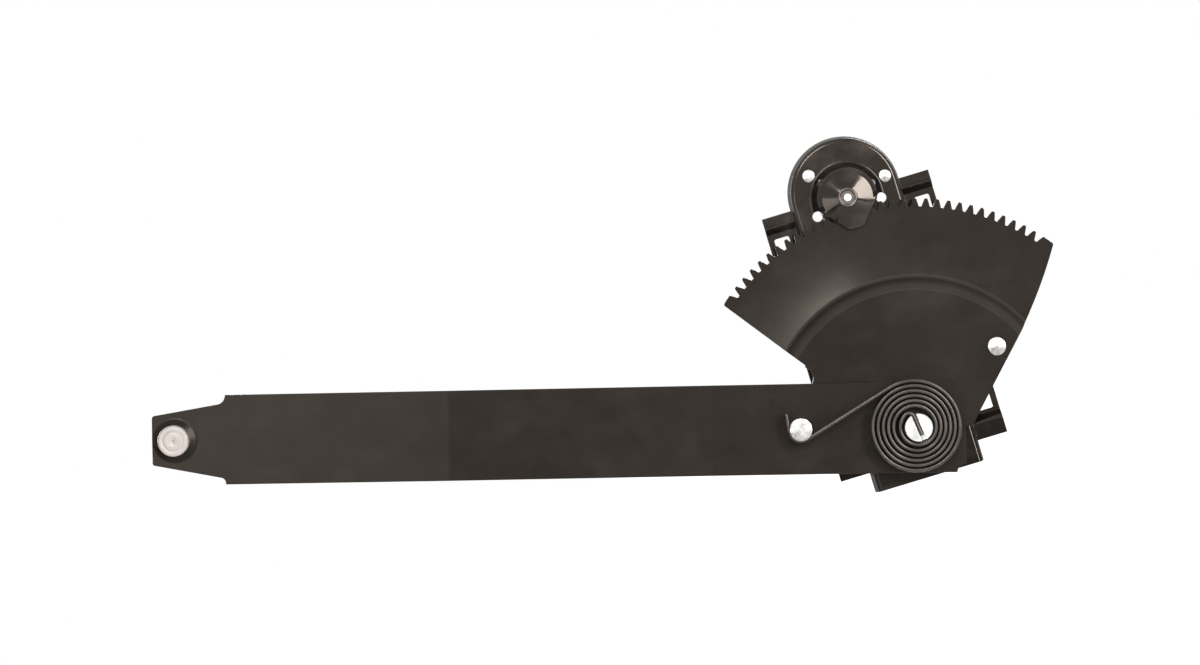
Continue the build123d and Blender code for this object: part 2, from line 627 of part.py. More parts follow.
def pinion_tooth():
    """One tooth of the pinion, lying along +X, with its root relieved for the sector's tips."""
    half = math.degrees((math.pi * MODULE / 2 - BACKLASH / 2) / 2 / PINION_PITCH_RADIUS)
    points = flank(PINION_PITCH_RADIUS, PINION_RELIEF_RADIUS, PINION_TIP_RADIUS)
    lower = [point.rotate(Axis.Z, -half) for point in points]
    upper = [Vector(point.X, -point.Y) for point in lower]
    root = Vector(PINION_ROOT_RADIUS - TOOTH_ROOT_ROUND, PINION_ROOT_HALF_WIDTH)
    with BuildSketch() as tooth:
        with BuildLine():
            Spline(*upper)
            Line(upper[0], root)
            Line(root, (root.X, -root.Y))
            Line((root.X, -root.Y), lower[0])
            Spline(*lower)
            ThreePointArc(lower[-1], (PINION_TIP_RADIUS, 0), upper[-1])
        make_face()
    return tooth.sketch


# ---- Pinion with the brake's driven dog -------------------------------------------------------------------------
def ring_segment(inner, outer, span):
    """Segment of a ring, centred on +X."""
    with BuildSketch() as segment:
        Circle(outer)
        Circle(inner, mode=Mode.SUBTRACT)
        with BuildLine():
            Polyline((0, 0), polar(2 * outer, -span / 2), polar(2 * outer, span / 2), close=True)
        make_face(mode=Mode.INTERSECT)
    return segment.sketch


with BuildPart() as pinion:
    with BuildSketch(facing(PINION_FACE_REAR, z=PINION_Z, turn=PINION_TURN - 90)):
        Circle(PINION_ROOT_RADIUS)
        with PolarLocations(0, PINION_TEETH):
            add(pinion_tooth())
    extrude(amount=PINION_FACE_FRONT - PINION_FACE_REAR)
    lathe(0, PINION_Z, *tube(0, JOURNAL_RADIUS, PINION_FACE_REAR, PINION_JOURNAL_END))
    lathe(0, PINION_Z, *tube(0, PINION_HUB_RADIUS, DRIVEN_REAR, PINION_FACE_REAR))
    lathe(0, PINION_Z, *tube(0, DRIVEN_RADIUS, DRIVEN_REAR, DRIVEN_FRONT))
    with BuildSketch(facing(DRIVER_FRONT + FREE, z=PINION_Z, turn=DOG_ANGLE)):
        add(ring_segment(DOG_INNER, DOG_OUTER, DOG_SPAN))
    extrude(amount=DRIVEN_FRONT - DRIVER_FRONT - FREE)
    lathe(0, PINION_Z, *tube(0, PILOT_RADIUS + RUNNING, DRIVER_REAR, PINION_JOURNAL_END + 1), mode=Mode.SUBTRACT)
save(pinion.part, "pinion")


# ---- Crank side: spindle, driver, brake spring and what keeps them in the drum ----------------------------------
with BuildPart() as crank_spindle:
    lathe(
        0,
        PINION_Z,
        (0, SPINDLE_END),
        (SPLINE_RADIUS - SPINDLE_EDGE, SPINDLE_END),
        (SPLINE_RADIUS, SPINDLE_END + SPINDLE_EDGE),
        (SPLINE_RADIUS, SPLINE_START - SPINDLE_EDGE),
        (SPINDLE_RADIUS, SPLINE_START),
        (SPINDLE_RADIUS, SPINDLE_RING_FRONT - RING_THICKNESS - RING_PLAY),
        (SPINDLE_RING_GROOVE, SPINDLE_RING_FRONT - RING_THICKNESS - RING_PLAY),
        (SPINDLE_RING_GROOVE, SPINDLE_RING_FRONT + RING_PLAY),
        (SPINDLE_RADIUS, SPINDLE_RING_FRONT + RING_PLAY),
        (SPINDLE_RADIUS, DRIVEN_REAR - FREE),
        (PILOT_RADIUS, DRIVEN_REAR - FREE),
        (PILOT_RADIUS, PINION_JOURNAL_END - SPINDLE_EDGE),
        (PILOT_RADIUS - SPINDLE_EDGE, PINION_JOURNAL_END),
        (0, PINION_JOURNAL_END),
    )
    # serrations for the handle, and the groove for the handle's clip
    with BuildSketch(facing(SPINDLE_END, z=PINION_Z)):
        with PolarLocations(0, SPLINE_TEETH):
            with BuildLine():
                Polyline(
                    (SPLINE_ROOT, 0),
                    polar(SPLINE_RADIUS + SPINDLE_EDGE, 180 / SPLINE_TEETH),
                    polar(SPLINE_RADIUS + SPINDLE_EDGE, -180 / SPLINE_TEETH),
                    close=True,
                )
            make_face()
    extrude(amount=SPLINE_START - SPINDLE_END - SPINDLE_EDGE, mode=Mode.SUBTRACT)
    lathe(
        0,
        PINION_Z,
        *tube(CLIP_GROOVE_RADIUS, SPINDLE_RADIUS, CLIP_GROOVE_DEPTH, CLIP_GROOVE_DEPTH + CLIP_GROOVE_WIDTH),
        mode=Mode.SUBTRACT,
    )
save(crank_spindle.part, "crank_spindle")

with BuildPart() as driver:
    lathe(0, PINION_Z, *tube(SPINDLE_RADIUS, BRAKE_OUTER, DRIVER_REAR, DRIVER_FRONT))
    for side in (-1, 1):
        finger_angle = DOG_ANGLE + side * (DOG_SPAN / 2 + DOG_GAP + FINGER_SPAN / 2)
        with BuildSketch(facing(DRIVER_FRONT, z=PINION_Z, turn=finger_angle)):
            add(ring_segment(DOG_INNER, DOG_OUTER, FINGER_SPAN))
        extrude(amount=DRIVEN_REAR - FREE - DRIVER_FRONT)
save(driver.part, "driver")

BRAKE_MID = BRAKE_OUTER - BRAKE_WIRE / 2
BRAKE_TURNS = 5 - (DOG_SPAN + DOG_GAP) / 360  # its two ends stand on each side of the dog
TANG_PLACE = 0.006  # share of the coil's length at which each end bends inwards
TANG_RADIUS = 0.68  # the ends are dressed to less than the wire
BRAKE_COIL_START = DRIVER_FRONT + FREE + BRAKE_WIRE / 2
with BuildPart() as brake_spring:
    with BuildLine() as brake_coil:
        Helix(
            pitch=BRAKE_PITCH,
            height=BRAKE_PITCH * BRAKE_TURNS,
            radius=BRAKE_MID,
            center=(0, -BRAKE_COIL_START, PINION_Z),
            direction=(0, -1, 0),
        )
    with BuildSketch(Plane(origin=brake_coil.line @ 0, z_dir=brake_coil.line % 0)):
        Circle(BRAKE_WIRE / 2)
    sweep(path=brake_coil.line)
    # the two ends, bent inwards between the dog and the driver's fingers
    for end in (TANG_PLACE, 1 - TANG_PLACE):
        tang = brake_coil.line @ end
        inward = (Vector(0, tang.Y, PINION_Z) - tang).normalized()
        with BuildSketch(Plane(origin=tang, z_dir=inward)):
            Circle(TANG_RADIUS)
        extrude(amount=BRAKE_MID - DOG_INNER)
save(brake_spring.part, "brake_spring")

with BuildPart() as thrust_washer:
    washer_sizes = tube(SPINDLE_RADIUS + RUNNING, THRUST_WASHER_RADIUS, THRUST_REAR, THRUST_REAR + THRUST_WASHER)
    lathe(0, PINION_Z, *washer_sizes)
save(thrust_washer.part, "thrust_washer")

with BuildPart() as spindle_washer:
    washer_sizes = tube(
        SPINDLE_RADIUS + RUNNING,
        SPINDLE_WASHER_RADIUS,
        SPINDLE_WASHER_FRONT - RING_THICKNESS,
        SPINDLE_WASHER_FRONT,
    )
    lathe(0, PINION_Z, *washer_sizes)
save(spindle_washer.part, "spindle_washer")

with BuildPart() as spindle_ring:
    retaining_ring(PINION_Z, SPINDLE_RING_GROOVE, SPINDLE_RING_RADIUS, SPINDLE_RING_FRONT - RING_THICKNESS, 90)
save(spindle_ring.part, "spindle_ring")


# ---- Toothed sector --------------------------------------------------------------------------------------------
right_corner = polar(SECTOR_TIP_RADIUS, RIGHT_END_ANGLE)
left_corner = polar(SECTOR_TIP_RADIUS, LEFT_END_ANGLE)
spring_stud_place = polar(SPRING_STUD_REACH, ARM_ANGLE)

with BuildPart() as sector_form:
    with BuildSketch(section(0, PIVOT_Z)):
        with BuildLine():
            FilletPolyline(
                (0, SECTOR_MID),
                (SECTOR_RISE_RADIUS - SECTOR_RISE_RUN / 2, SECTOR_MID),
                (SECTOR_RISE_RADIUS + SECTOR_RISE_RUN / 2, SECTOR_DEPTH),
                (FAR_BEYOND, SECTOR_DEPTH),
                radius=SECTOR_BEND,
            )
            offset(amount=SECTOR_SHEET, side=Side.LEFT)
        make_face()
    revolve(axis=Axis((0, 0, PIVOT_Z), (0, 1, 0)))

with BuildPart() as sector_gear:
    with BuildSketch(facing(0, z=PIVOT_Z)) as sector_face:
        with BuildLine():
            ThreePointArc(right_corner, RIGHT_WAIST, RIGHT_KNEE)
            Polyline(RIGHT_KNEE, RIGHT_FOOT, (0, 0), spring_stud_place, LEFT_KNEE, left_corner)
            RadiusArc(left_corner, right_corner, SECTOR_TIP_RADIUS)
        make_face()
        with BuildSketch(mode=Mode.ADD):
            Circle(SECTOR_LOBE_RADIUS)
            with Locations(spring_stud_place):
                Circle(STUD_LOBE_RADIUS)
            make_hull()
        with Locations(LEFT_NOTCH):
            Circle(LEFT_NOTCH_RADIUS, mode=Mode.SUBTRACT)
        Circle(BUSH_OUTER, mode=Mode.SUBTRACT)
        with Locations(spring_stud_place):
            Circle(SPRING_STUD_TENON, mode=Mode.SUBTRACT)
        with Locations(STOP_STUD):
            Circle(STOP_STUD_TENON, mode=Mode.SUBTRACT)
        first_gap = 90 + MESH_LAG - MESH_GAP * TOOTH_PITCH
        with PolarLocations(0, SECTOR_GAPS, first_gap, (SECTOR_GAPS - 1) * TOOTH_PITCH, endpoint=True):
            add(sector_gap(), mode=Mode.SUBTRACT)
        rim = [point for point in sector_face.vertices() if abs(Vector(point).length - SECTOR_TIP_RADIUS) < ON_THE_RIM]
        rim.sort(key=lambda point: point.X)
        fillet((rim[0], rim[-1]), SECTOR_CORNER_ROUND)
        rim = [point for point in sector_face.vertices() if abs(Vector(point).length - SECTOR_TIP_RADIUS) < ON_THE_RIM]
        rim.sort(key=lambda point: point.X)
        fillet(rim[1:-1], TOOTH_TIP_ROUND)
    extrude(amount=FAR_BEYOND / 2)
    add(sector_form.part, mode=Mode.INTERSECT)
save(sector_gear.part, "sector_gear")


# ---- Lift arm ---------------------------------------------------------------------------------------------------
with BuildPart() as arm_boss:
    with BuildSketch(section(ROLLER_X, ROLLER_Z)):
        with BuildLine():
            FilletPolyline(
                (0, TIP_DEPTH + BOSS_RISE),
                (BOSS_TOP_RADIUS, TIP_DEPTH + BOSS_RISE),
                (BOSS_RADIUS, TIP_DEPTH),
                (BOSS_RADIUS + BOSS_BEND, TIP_DEPTH),
                radius=BOSS_BEND,
            )
            offset(amount=ARM_SHEET, side=Side.LEFT)
        make_face()
    revolve(axis=Axis((ROLLER_X, 0, ROLLER_Z), (0, 1, 0)))

with BuildPart() as lift_arm:
    with BuildSketch(section(0, PIVOT_Z, turn=ARM_ANGLE)):
        with BuildLine():
            FilletPolyline(
                (ARM_HEEL - ARM_BITE, ARM_DEPTH),
                (BEND_NEAR, ARM_DEPTH),
                (BEND_FAR, TIP_DEPTH),
                (ARM_TIP + ARM_BITE, TIP_DEPTH),
                radius=ARM_BEND,
            )
            offset(amount=ARM_SHEET, side=Side.LEFT)
        make_face()
    extrude(amount=2 * ARM_HALF_WIDTH, both=True)
    lathe(ROLLER_X, ROLLER_Z, *tube(0, BOSS_RADIUS + BOSS_BEND, ARM_DEPTH, TIP_FRONT + 1), mode=Mode.SUBTRACT)
    add(arm_boss.part)
    with BuildSketch(facing(0, z=PIVOT_Z, turn=ARM_ANGLE)):
        with BuildLine():
            FilletPolyline(
                (ARM_HEEL, ARM_HALF_WIDTH),
                (ARM_SHOULDER, ARM_TIP_HALF_WIDTH),
                (ARM_SHOULDER, ARM_NECK_LOWER),
                (ARM_TIP, ARM_TIP_END),
                (ARM_TIP, -ARM_TIP_END),
                (ARM_SHOULDER, -ARM_NECK_UPPER),
                (ARM_SHOULDER, -ARM_TIP_HALF_WIDTH),
                (ARM_HEEL, -ARM_HALF_WIDTH),
                radius=(0, 0, LOWER_SHOULDER_ROUND, ARM_TIP_ROUND, ARM_TIP_ROUND, UPPER_SHOULDER_ROUND, 0, 0),
                close=True,
            )
        make_face()
        with Locations((ARM_HEEL, ARM_HALF_WIDTH), (ARM_HEEL, -ARM_HALF_WIDTH)):
            Circle(ARM_BITE, mode=Mode.SUBTRACT)
        Circle(BUSH_OUTER, mode=Mode.SUBTRACT)
        with Locations((SPRING_STUD_REACH, 0)):
            Circle(SPRING_STUD_TENON, mode=Mode.SUBTRACT)
        with Locations((ROLLER_REACH, 0)):
            Circle(STUD_TENON, mode=Mode.SUBTRACT)
    extrude(amount=FAR_BEYOND / 2, mode=Mode.INTERSECT)
save(lift_arm.part, "lift_arm")

with BuildPart() as spring_stud:
    lathe(
        SPRING_STUD_X,
        SPRING_STUD_Z,
        (0, SECTOR_MID - RIVET_UPSET),
        (SPRING_STUD_SHANK - RIVET_EDGE, SECTOR_MID - RIVET_UPSET),
        (SPRING_STUD_SHANK, SECTOR_MID),
        (SPRING_STUD_TENON, SECTOR_MID),
        (SPRING_STUD_TENON, ARM_FRONT),
        (SPRING_STUD_SHANK, ARM_FRONT),
        (SPRING_STUD_SHANK, STUD_SHOULDER),
        (SPRING_STUD_HEAD, STUD_SHOULDER),
        (SPRING_STUD_HEAD, STUD_SHOULDER + SPRING_STUD_HEAD_HEIGHT - RIVET_EDGE),
        (SPRING_STUD_HEAD - RIVET_EDGE, STUD_SHOULDER + SPRING_STUD_HEAD_HEIGHT),
        (0, STUD_SHOULDER + SPRING_STUD_HEAD_HEIGHT),
    )
save(spring_stud.part, "spring_stud")

with BuildPart() as stop_stud:
    lathe(
        STOP_STUD[0],
        PIVOT_Z + STOP_STUD[1],
        (0, SECTOR_MID - RIVET_UPSET),
        (STOP_STUD_HEAD - RIVET_EDGE, SECTOR_MID - RIVET_UPSET),
        (STOP_STUD_HEAD, SECTOR_MID),
        (STOP_STUD_TENON, SECTOR_MID),
        (STOP_STUD_TENON, SECTOR_MID + SECTOR_SHEET),
        (STOP_STUD_HEAD, SECTOR_MID + SECTOR_SHEET),
        (STOP_STUD_HEAD, SECTOR_MID + SECTOR_SHEET + STOP_STUD_HEAD_HEIGHT - RIVET_EDGE),
        (STOP_STUD_HEAD - RIVET_EDGE, SECTOR_MID + SECTOR_SHEET + STOP_STUD_HEAD_HEIGHT),
        (0, SECTOR_MID + SECTOR_SHEET + STOP_STUD_HEAD_HEIGHT),
    )
save(stop_stud.part, "stop_stud")


# ---- Roller, its stud and its washer ---------------------------------------------------------------------------
with BuildPart() as roller_stud:
    lathe(
        ROLLER_X,
        ROLLER_Z,
        (0, TIP_DEPTH + BOSS_RISE - RIVET_UPSET),
        (STUD_TAIL_RADIUS - RIVET_EDGE, TIP_DEPTH + BOSS_RISE - RIVET_UPSET),
        (STUD_TAIL_RADIUS, TIP_DEPTH + BOSS_RISE),
        (STUD_TENON, TIP_DEPTH + BOSS_RISE),
        (STUD_TENON, BOSS_FRONT),
        (ROLLER_BORE - RUNNING, BOSS_FRONT),
        (ROLLER_BORE - RUNNING, ROLLER_FRONT - ROLLER_FACE - FREE - STUD_HEAD_LENGTH),
        (ROLLER_CHAMBER - FREE, ROLLER_FRONT - ROLLER_FACE - FREE - STUD_HEAD_LENGTH),
        (ROLLER_BORE - RUNNING, ROLLER_FRONT - ROLLER_FACE - FREE),
        (0, ROLLER_FRONT - ROLLER_FACE - FREE),
    )
save(roller_stud.part, "roller_stud")

with BuildPart() as roller_washer:
    lathe(ROLLER_X, ROLLER_Z, *tube(ROLLER_BORE, ROLLER_WASHER_RADIUS, BOSS_FRONT, BOSS_FRONT + ROLLER_WASHER))
save(roller_washer.part, "roller_washer")

with BuildPart() as roller:
    lathe(
        ROLLER_X,
        ROLLER_Z,
        (ROLLER_BORE, ROLLER_REAR),
        (ROLLER_RADIUS - ROLLER_EDGE, ROLLER_REAR),
        (ROLLER_RADIUS, ROLLER_REAR + ROLLER_EDGE),
        (ROLLER_RADIUS, ROLLER_FRONT - ROLLER_EDGE),
        (ROLLER_RADIUS - ROLLER_EDGE, ROLLER_FRONT),
        (ROLLER_NOSE_RADIUS, ROLLER_FRONT),
        (ROLLER_NOSE_RADIUS - ROLLER_NOSE, ROLLER_FRONT + ROLLER_NOSE),
        (0, ROLLER_FRONT + ROLLER_NOSE),
        (0, ROLLER_FRONT - ROLLER_FACE),
        (ROLLER_CHAMBER, ROLLER_FRONT - ROLLER_FACE),
        (ROLLER_CHAMBER, ROLLER_FRONT - ROLLER_FACE - STUD_HEAD_LENGTH - 2 * FREE),
        (ROLLER_BORE, ROLLER_FRONT - ROLLER_FACE - STUD_HEAD_LENGTH - 2 * FREE),
    )
save(roller.part, "roller")


# ---- Counterbalance spring -------------------------------------------------------------------------------------
def strip_edge(shift):
    """The strip's path about the pivot, shifted to the left of its way out by shift.

    From the slot of the pivot stud it bends into the innermost coil, winds outwards in half turns whose centres step
    from side to side, leaves as a straight leg and wraps round the spring stud the other way.
    """
    slot_way = Vector(*polar(1, SLOT_ANGLE))
    slot_side = slot_way.rotate(Axis.Z, 90)
    hook_start = slot_way * HOOK_REACH
    hook_centre = hook_start + slot_side * HOOK_RADIUS
    centre = Vector(*COIL_CENTRE)
    to_hook = hook_centre - centre
    hook_exit = math.degrees(math.atan2(to_hook.Y, to_hook.X))
    radius = to_hook.length + HOOK_RADIUS
    stud = Vector(*polar(SPRING_STUD_REACH, ARM_ANGLE))
    wrap_radius = SPRING_STUD_SHANK + FREE + STRIP_THICKNESS / 2
    with BuildLine() as edge:
        Line(hook_start - slot_way * INNER_LEG + slot_side * shift, hook_start + slot_side * shift)
        CenterArc(hook_centre, HOOK_RADIUS - shift, SLOT_ANGLE - 90, hook_exit - SLOT_ANGLE + 90)
        CenterArc(centre, radius - shift, hook_exit, GROWTH_ANGLE + 360 - hook_exit)
        start = GROWTH_ANGLE
        for half_turn in range(HALF_TURNS + 1):
            growth = (COIL_PITCH + COIL_PITCH_SHIFT * (-1) ** half_turn) / 2
            if half_turn == 0:
                growth += COIL_START
            centre -= Vector(*polar(growth, start))
            radius += growth
            if half_turn < HALF_TURNS:
                CenterArc(centre, radius - shift, start, 180)
                start += 180
        to_stud = stud - centre
        leg_angle = math.degrees(math.atan2(to_stud.Y, to_stud.X))
        leg_angle += math.degrees(math.asin((radius + wrap_radius) / to_stud.length))
        CenterArc(centre, radius - shift, GROWTH_ANGLE, leg_angle - 90 - GROWTH_ANGLE)
        leg_start = centre + Vector(*polar(radius - shift, leg_angle - 90))
        Line(leg_start, stud + Vector(*polar(wrap_radius + shift, leg_angle + 90)))
        CenterArc(stud, wrap_radius + shift, leg_angle + 90, -TAIL_TURN)
        tail_start = stud + Vector(*polar(wrap_radius + shift, leg_angle + 90 - TAIL_TURN))
        Line(tail_start, tail_start + Vector(*polar(TAIL_LENGTH, leg_angle - TAIL_TURN)))
    return edge.wire()


left_edge = strip_edge(STRIP_THICKNESS / 2)
right_edge = strip_edge(-STRIP_THICKNESS / 2)
with BuildPart() as counterbalance_spring:
    with BuildSketch(facing(STRIP_REAR, z=PIVOT_Z)):
        with BuildLine():
            add(left_edge)
            add(right_edge)
            Line(left_edge @ 0, right_edge @ 0)
            Line(left_edge @ 1, right_edge @ 1)
        make_face()
    extrude(amount=STRIP_WIDTH)
save(counterbalance_spring.part, "counterbalance_spring")
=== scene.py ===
"""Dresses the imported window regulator: finishes, rounded sheet edges, turned heads, wound spring and studio.

Lengths are in metres unless a comment or docstring says millimetres, and angles are in degrees. The frame is
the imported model's: +X across the plate, +Z up it, and the glass side at -Y. A "depth" is a distance from the
mounting plane towards the glass, so it is minus y.
"""

from __future__ import annotations

import json
import logging
import math
from dataclasses import dataclass
from enum import Enum
from typing import Sequence

import bmesh
import bpy
import numpy as np
from mathutils import Matrix, Vector

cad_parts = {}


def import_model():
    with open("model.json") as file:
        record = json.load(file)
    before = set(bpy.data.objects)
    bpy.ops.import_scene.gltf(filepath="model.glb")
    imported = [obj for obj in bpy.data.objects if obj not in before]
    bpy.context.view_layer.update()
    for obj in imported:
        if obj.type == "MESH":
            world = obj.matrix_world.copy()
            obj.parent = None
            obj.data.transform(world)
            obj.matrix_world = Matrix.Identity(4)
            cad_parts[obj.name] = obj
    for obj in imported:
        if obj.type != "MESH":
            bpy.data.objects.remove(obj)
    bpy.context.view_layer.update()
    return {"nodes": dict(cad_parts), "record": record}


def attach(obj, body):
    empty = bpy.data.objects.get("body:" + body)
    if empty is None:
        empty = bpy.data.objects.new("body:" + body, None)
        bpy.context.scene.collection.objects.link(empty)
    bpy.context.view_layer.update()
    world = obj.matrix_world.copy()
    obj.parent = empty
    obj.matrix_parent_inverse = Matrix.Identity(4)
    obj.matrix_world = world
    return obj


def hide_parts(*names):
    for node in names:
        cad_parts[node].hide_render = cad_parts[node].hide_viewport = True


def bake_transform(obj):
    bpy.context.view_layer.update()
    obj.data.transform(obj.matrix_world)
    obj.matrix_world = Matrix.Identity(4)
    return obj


LOG = logging.getLogger("regulator")
MM = 0.001
MERGE = 0.002 * MM  # points nearer than this are one point
ARM_ANGLE = 164.13  # direction from the pivot along the arm, in degrees
SPRING_STUD_REACH = 68.9  # millimetres from the pivot, along the arm

Socket = bpy.types.NodeSocket
Colour = tuple[float, float, float]


class Grain(Enum):
    """How the fine marks on a bare metal surface run."""

    TURNED = "turned"
    NONE = "none"


@dataclass(frozen=True)
class Spindle:
    """An axis along Y, square to the plate, at a place given in millimetres."""

    x: float
    z: float

    def centre(self) -> tuple[float, float, float]:
        """Point of the axis on the mounting plane, in metres."""
        return (self.x * MM, 0.0, self.z * MM)


PIVOT = Spindle(0.0, -63.6)
PINION = Spindle(0.0, 77.16)


@dataclass(frozen=True)
class Flare:
    """A face that falls away outside a circle: evenly at power 1, and levelling out at power 2.

    Lengths are in millimetres. The fade is the span of x over which the fall dies out.
    """

    axis: Spindle
    start: float
    width: float
    slope: float
    power: float
    fade: tuple[float, float] | None = None


@dataclass(frozen=True)
class NodeTree:
    """A material's or a world's node tree, with short calls to add and join nodes."""

    tree: bpy.types.NodeTree

    def add(self, kind: str, **settings: object) -> bpy.types.Node:
        """Adds a node.

        Args:
            kind: The node's Blender type.
            **settings: Attributes set on the node, such as operation.

        Returns:
            The new node.
        """
        node = self.tree.nodes.new(kind)
        for name, value in settings.items():
            setattr(node, name, value)
        return node

    def feed(self, value: Socket | float | Sequence[float], target: Socket) -> None:
        """Links a socket to an input, or sets the input to a number or a row of numbers.

        Args:
            value: What the input takes.
            target: The input.
        """
        if isinstance(value, bpy.types.NodeSocket):
            self.tree.links.new(value, target)
        else:
            target.default_value = value

    def place(self) -> Socket:
        """Position on the object, in metres, as a socket."""
        return self.add("ShaderNodeTexCoord").outputs["Object"]

    def part(self, vector: Socket, name: str) -> Socket:
        """One part of a vector.

        Args:
            vector: The vector.
            name: X, Y or Z.

        Returns:
            The part's value.
        """
        parts = self.add("ShaderNodeSeparateXYZ")
        self.feed(vector, parts.inputs["Vector"])
        return parts.outputs[name]

    def arithmetic(self, operation: str, first: Socket, second: Socket | float = 0.0) -> Socket:
        """One step of arithmetic.

        Args:
            operation: The step's Blender name, such as MULTIPLY.
            first: The first value.
            second: The second value, for a step that takes two.

        Returns:
            The result.
        """
        node = self.add("ShaderNodeMath", operation=operation)
        self.feed(first, node.inputs[0])
        self.feed(second, node.inputs[1])
        return node.outputs[0]

    def noise(self, scale: float, detail: float, stretch: Sequence[float] = (1, 1, 1)) -> Socket:
        """Noise from 0 to 1.

        Args:
            scale: Noise cells in one metre.
            detail: Octaves added to it.
            stretch: How much finer the noise is along each axis.

        Returns:
            The noise's value.
        """
        mapping = self.add("ShaderNodeMapping")
        mapping.inputs["Scale"].default_value = stretch
        self.feed(self.place(), mapping.inputs["Vector"])
        noise = self.add("ShaderNodeTexNoise")
        noise.inputs["Scale"].default_value = scale
        noise.inputs["Detail"].default_value = detail
        self.feed(mapping.outputs["Vector"], noise.inputs["Vector"])
        return noise.outputs["Fac"]

    def between(
        self,
        value: Socket,
        low: float,
        high: float,
        start: float = 0.3,
        end: float = 0.7,
        ease: str = "LINEAR",
    ) -> Socket:
        """Maps start..end of a value to low..high, and holds it there outside.

        Args:
            value: The value.
            low: Result at the start.
            high: Result at the end.
            start: The value at which the result begins to change.
            end: The value at which it stops.
            ease: Blender's name for how it changes between them.

        Returns:
            The result.
        """
        ranged = self.add("ShaderNodeMapRange", interpolation_type=ease)
        for name, number in (("From Min", start), ("From Max", end), ("To Min", low), ("To Max", high)):
            ranged.inputs[name].default_value = number
        self.feed(value, ranged.inputs["Value"])
        return ranged.outputs["Result"]

    def blend(self, share: Socket, value: Socket, other: float) -> Socket:
        """Value that goes to another number as a share goes from 0 to 1.

        Args:
            share: The share.
            value: The value at 0.
            other: The number at 1.

        Returns:
            The blended value.
        """
        mix = self.add("ShaderNodeMix", data_type="FLOAT")
        self.feed(share, mix.inputs["Factor"])
        self.feed(value, mix.inputs["A"])
        self.feed(other, mix.inputs["B"])
        return mix.outputs["Result"]

    def tint(self, share: Socket, start: Socket | Sequence[float], end: Colour) -> Socket:
        """Colour that goes to another colour as a share goes from 0 to 1.

        Args:
            share: The share.
            start: The colour at 0, as a socket or as red, green, blue and alpha.
            end: The colour at 1.

        Returns:
            The blended colour.
        """
        mix = self.add("ShaderNodeMix", data_type="RGBA")
        self.feed(share, mix.inputs["Factor"])
        self.feed(start, mix.inputs["A"])
        self.feed((*end, 1), mix.inputs["B"])
        return mix.outputs["Result"]

    def dusted(self, colour: Socket, share: float) -> Socket:
        """Colour with sparse patches, cloudy at their edges, that show up to a share of the dust's own."""
        patches = self.between(self.noise(DUST_SCALE, 6, DUST_STRETCH), 0.0, share, *DUST_EDGE)
        return self.tint(patches, colour, DUST)

    def tilt(self, height: Socket, distance: float, strength: float, under: Socket | None = None) -> Socket:
        """Normal tilted by the slope of a height.

        Args:
            height: The height, in units of the distance.
            distance: Length of one unit of height, in metres.
            strength: How much of the tilt shows.
            under: The normal that it is added to, if not the surface's own.

        Returns:
            The normal.
        """
        node = self.add("ShaderNodeBump")
        node.inputs["Distance"].default_value = distance
        node.inputs["Strength"].default_value = strength
        self.feed(height, node.inputs["Height"])
        if under is not None:
            self.feed(under, node.inputs["Normal"])
        return node.outputs["Normal"]

    def radius(self, axis: Spindle) -> Socket:
        """Distance from an axis along Y: the length of the place's x and z less the axis's own.

        Args:
            axis: The axis.

        Returns:
            The distance, in metres.
        """
        mapping = self.add("ShaderNodeMapping")
        mapping.inputs["Location"].default_value = [-value for value in axis.centre()]
        self.feed(self.place(), mapping.inputs["Vector"])
        flat = self.add("ShaderNodeVectorMath", operation="MULTIPLY")
        self.feed(mapping.outputs["Vector"], flat.inputs[0])
        self.feed((1, 0, 1), flat.inputs[1])
        length = self.add("ShaderNodeVectorMath", operation="LENGTH")
        self.feed(flat.outputs["Vector"], length.inputs[0])
        return length.outputs["Value"]

    def rings(self, axis: Spindle, under: Socket) -> Socket:
        """Normal with fine rings round an axis: the height is the sine of the distance from it."""
        turns = self.arithmetic("MULTIPLY", self.radius(axis), 2 * math.pi / RING_PITCH)
        return self.tilt(self.arithmetic("SINE", turns), RING_HEIGHT, 0.5, under)

    def flared(self, flare: Flare, under: Socket) -> Socket:
        """Normal that leans outwards past a circle.

        The height is a power of what is left of the face's width.

        Args:
            flare: The face's shape.
            under: The normal that the lean is added to.

        Returns:
            The normal.
        """
        end = (flare.start + flare.width) * MM
        left = self.between(self.radius(flare.axis), 1.0, 0.0, flare.start * MM, end)
        height = self.arithmetic("POWER", left, flare.power)
        if flare.fade is not None:
            start, end = (edge * MM for edge in flare.fade)
            share = self.between(self.part(self.place(), "X"), 1.0, 0.0, start, end, "SMOOTHERSTEP")
            height = self.arithmetic("MULTIPLY", height, share)
        return self.tilt(height, flare.slope * flare.width * MM / flare.power, 1.0, under)

    def walls(self, half_width: float) -> Socket:
        """One on faces that stand square to the plate near its middle plane, and zero elsewhere.

        Args:
            half_width: Distance from the plate's middle plane at which it ends, in millimetres.

        Returns:
            The share.
        """
        normal = self.add("ShaderNodeNewGeometry").outputs["Normal"]
        facing = self.arithmetic("ABSOLUTE", self.part(normal, "Y"))
        aside = self.arithmetic("ABSOLUTE", self.part(self.place(), "X"))
        standing = self.between(facing, 1.0, 0.0, *WALL_FACING)
        inside = self.between(aside, 1.0, 0.0, half_width * MM, (half_width + 0.5) * MM)
        return self.arithmetic("MULTIPLY", standing, inside)

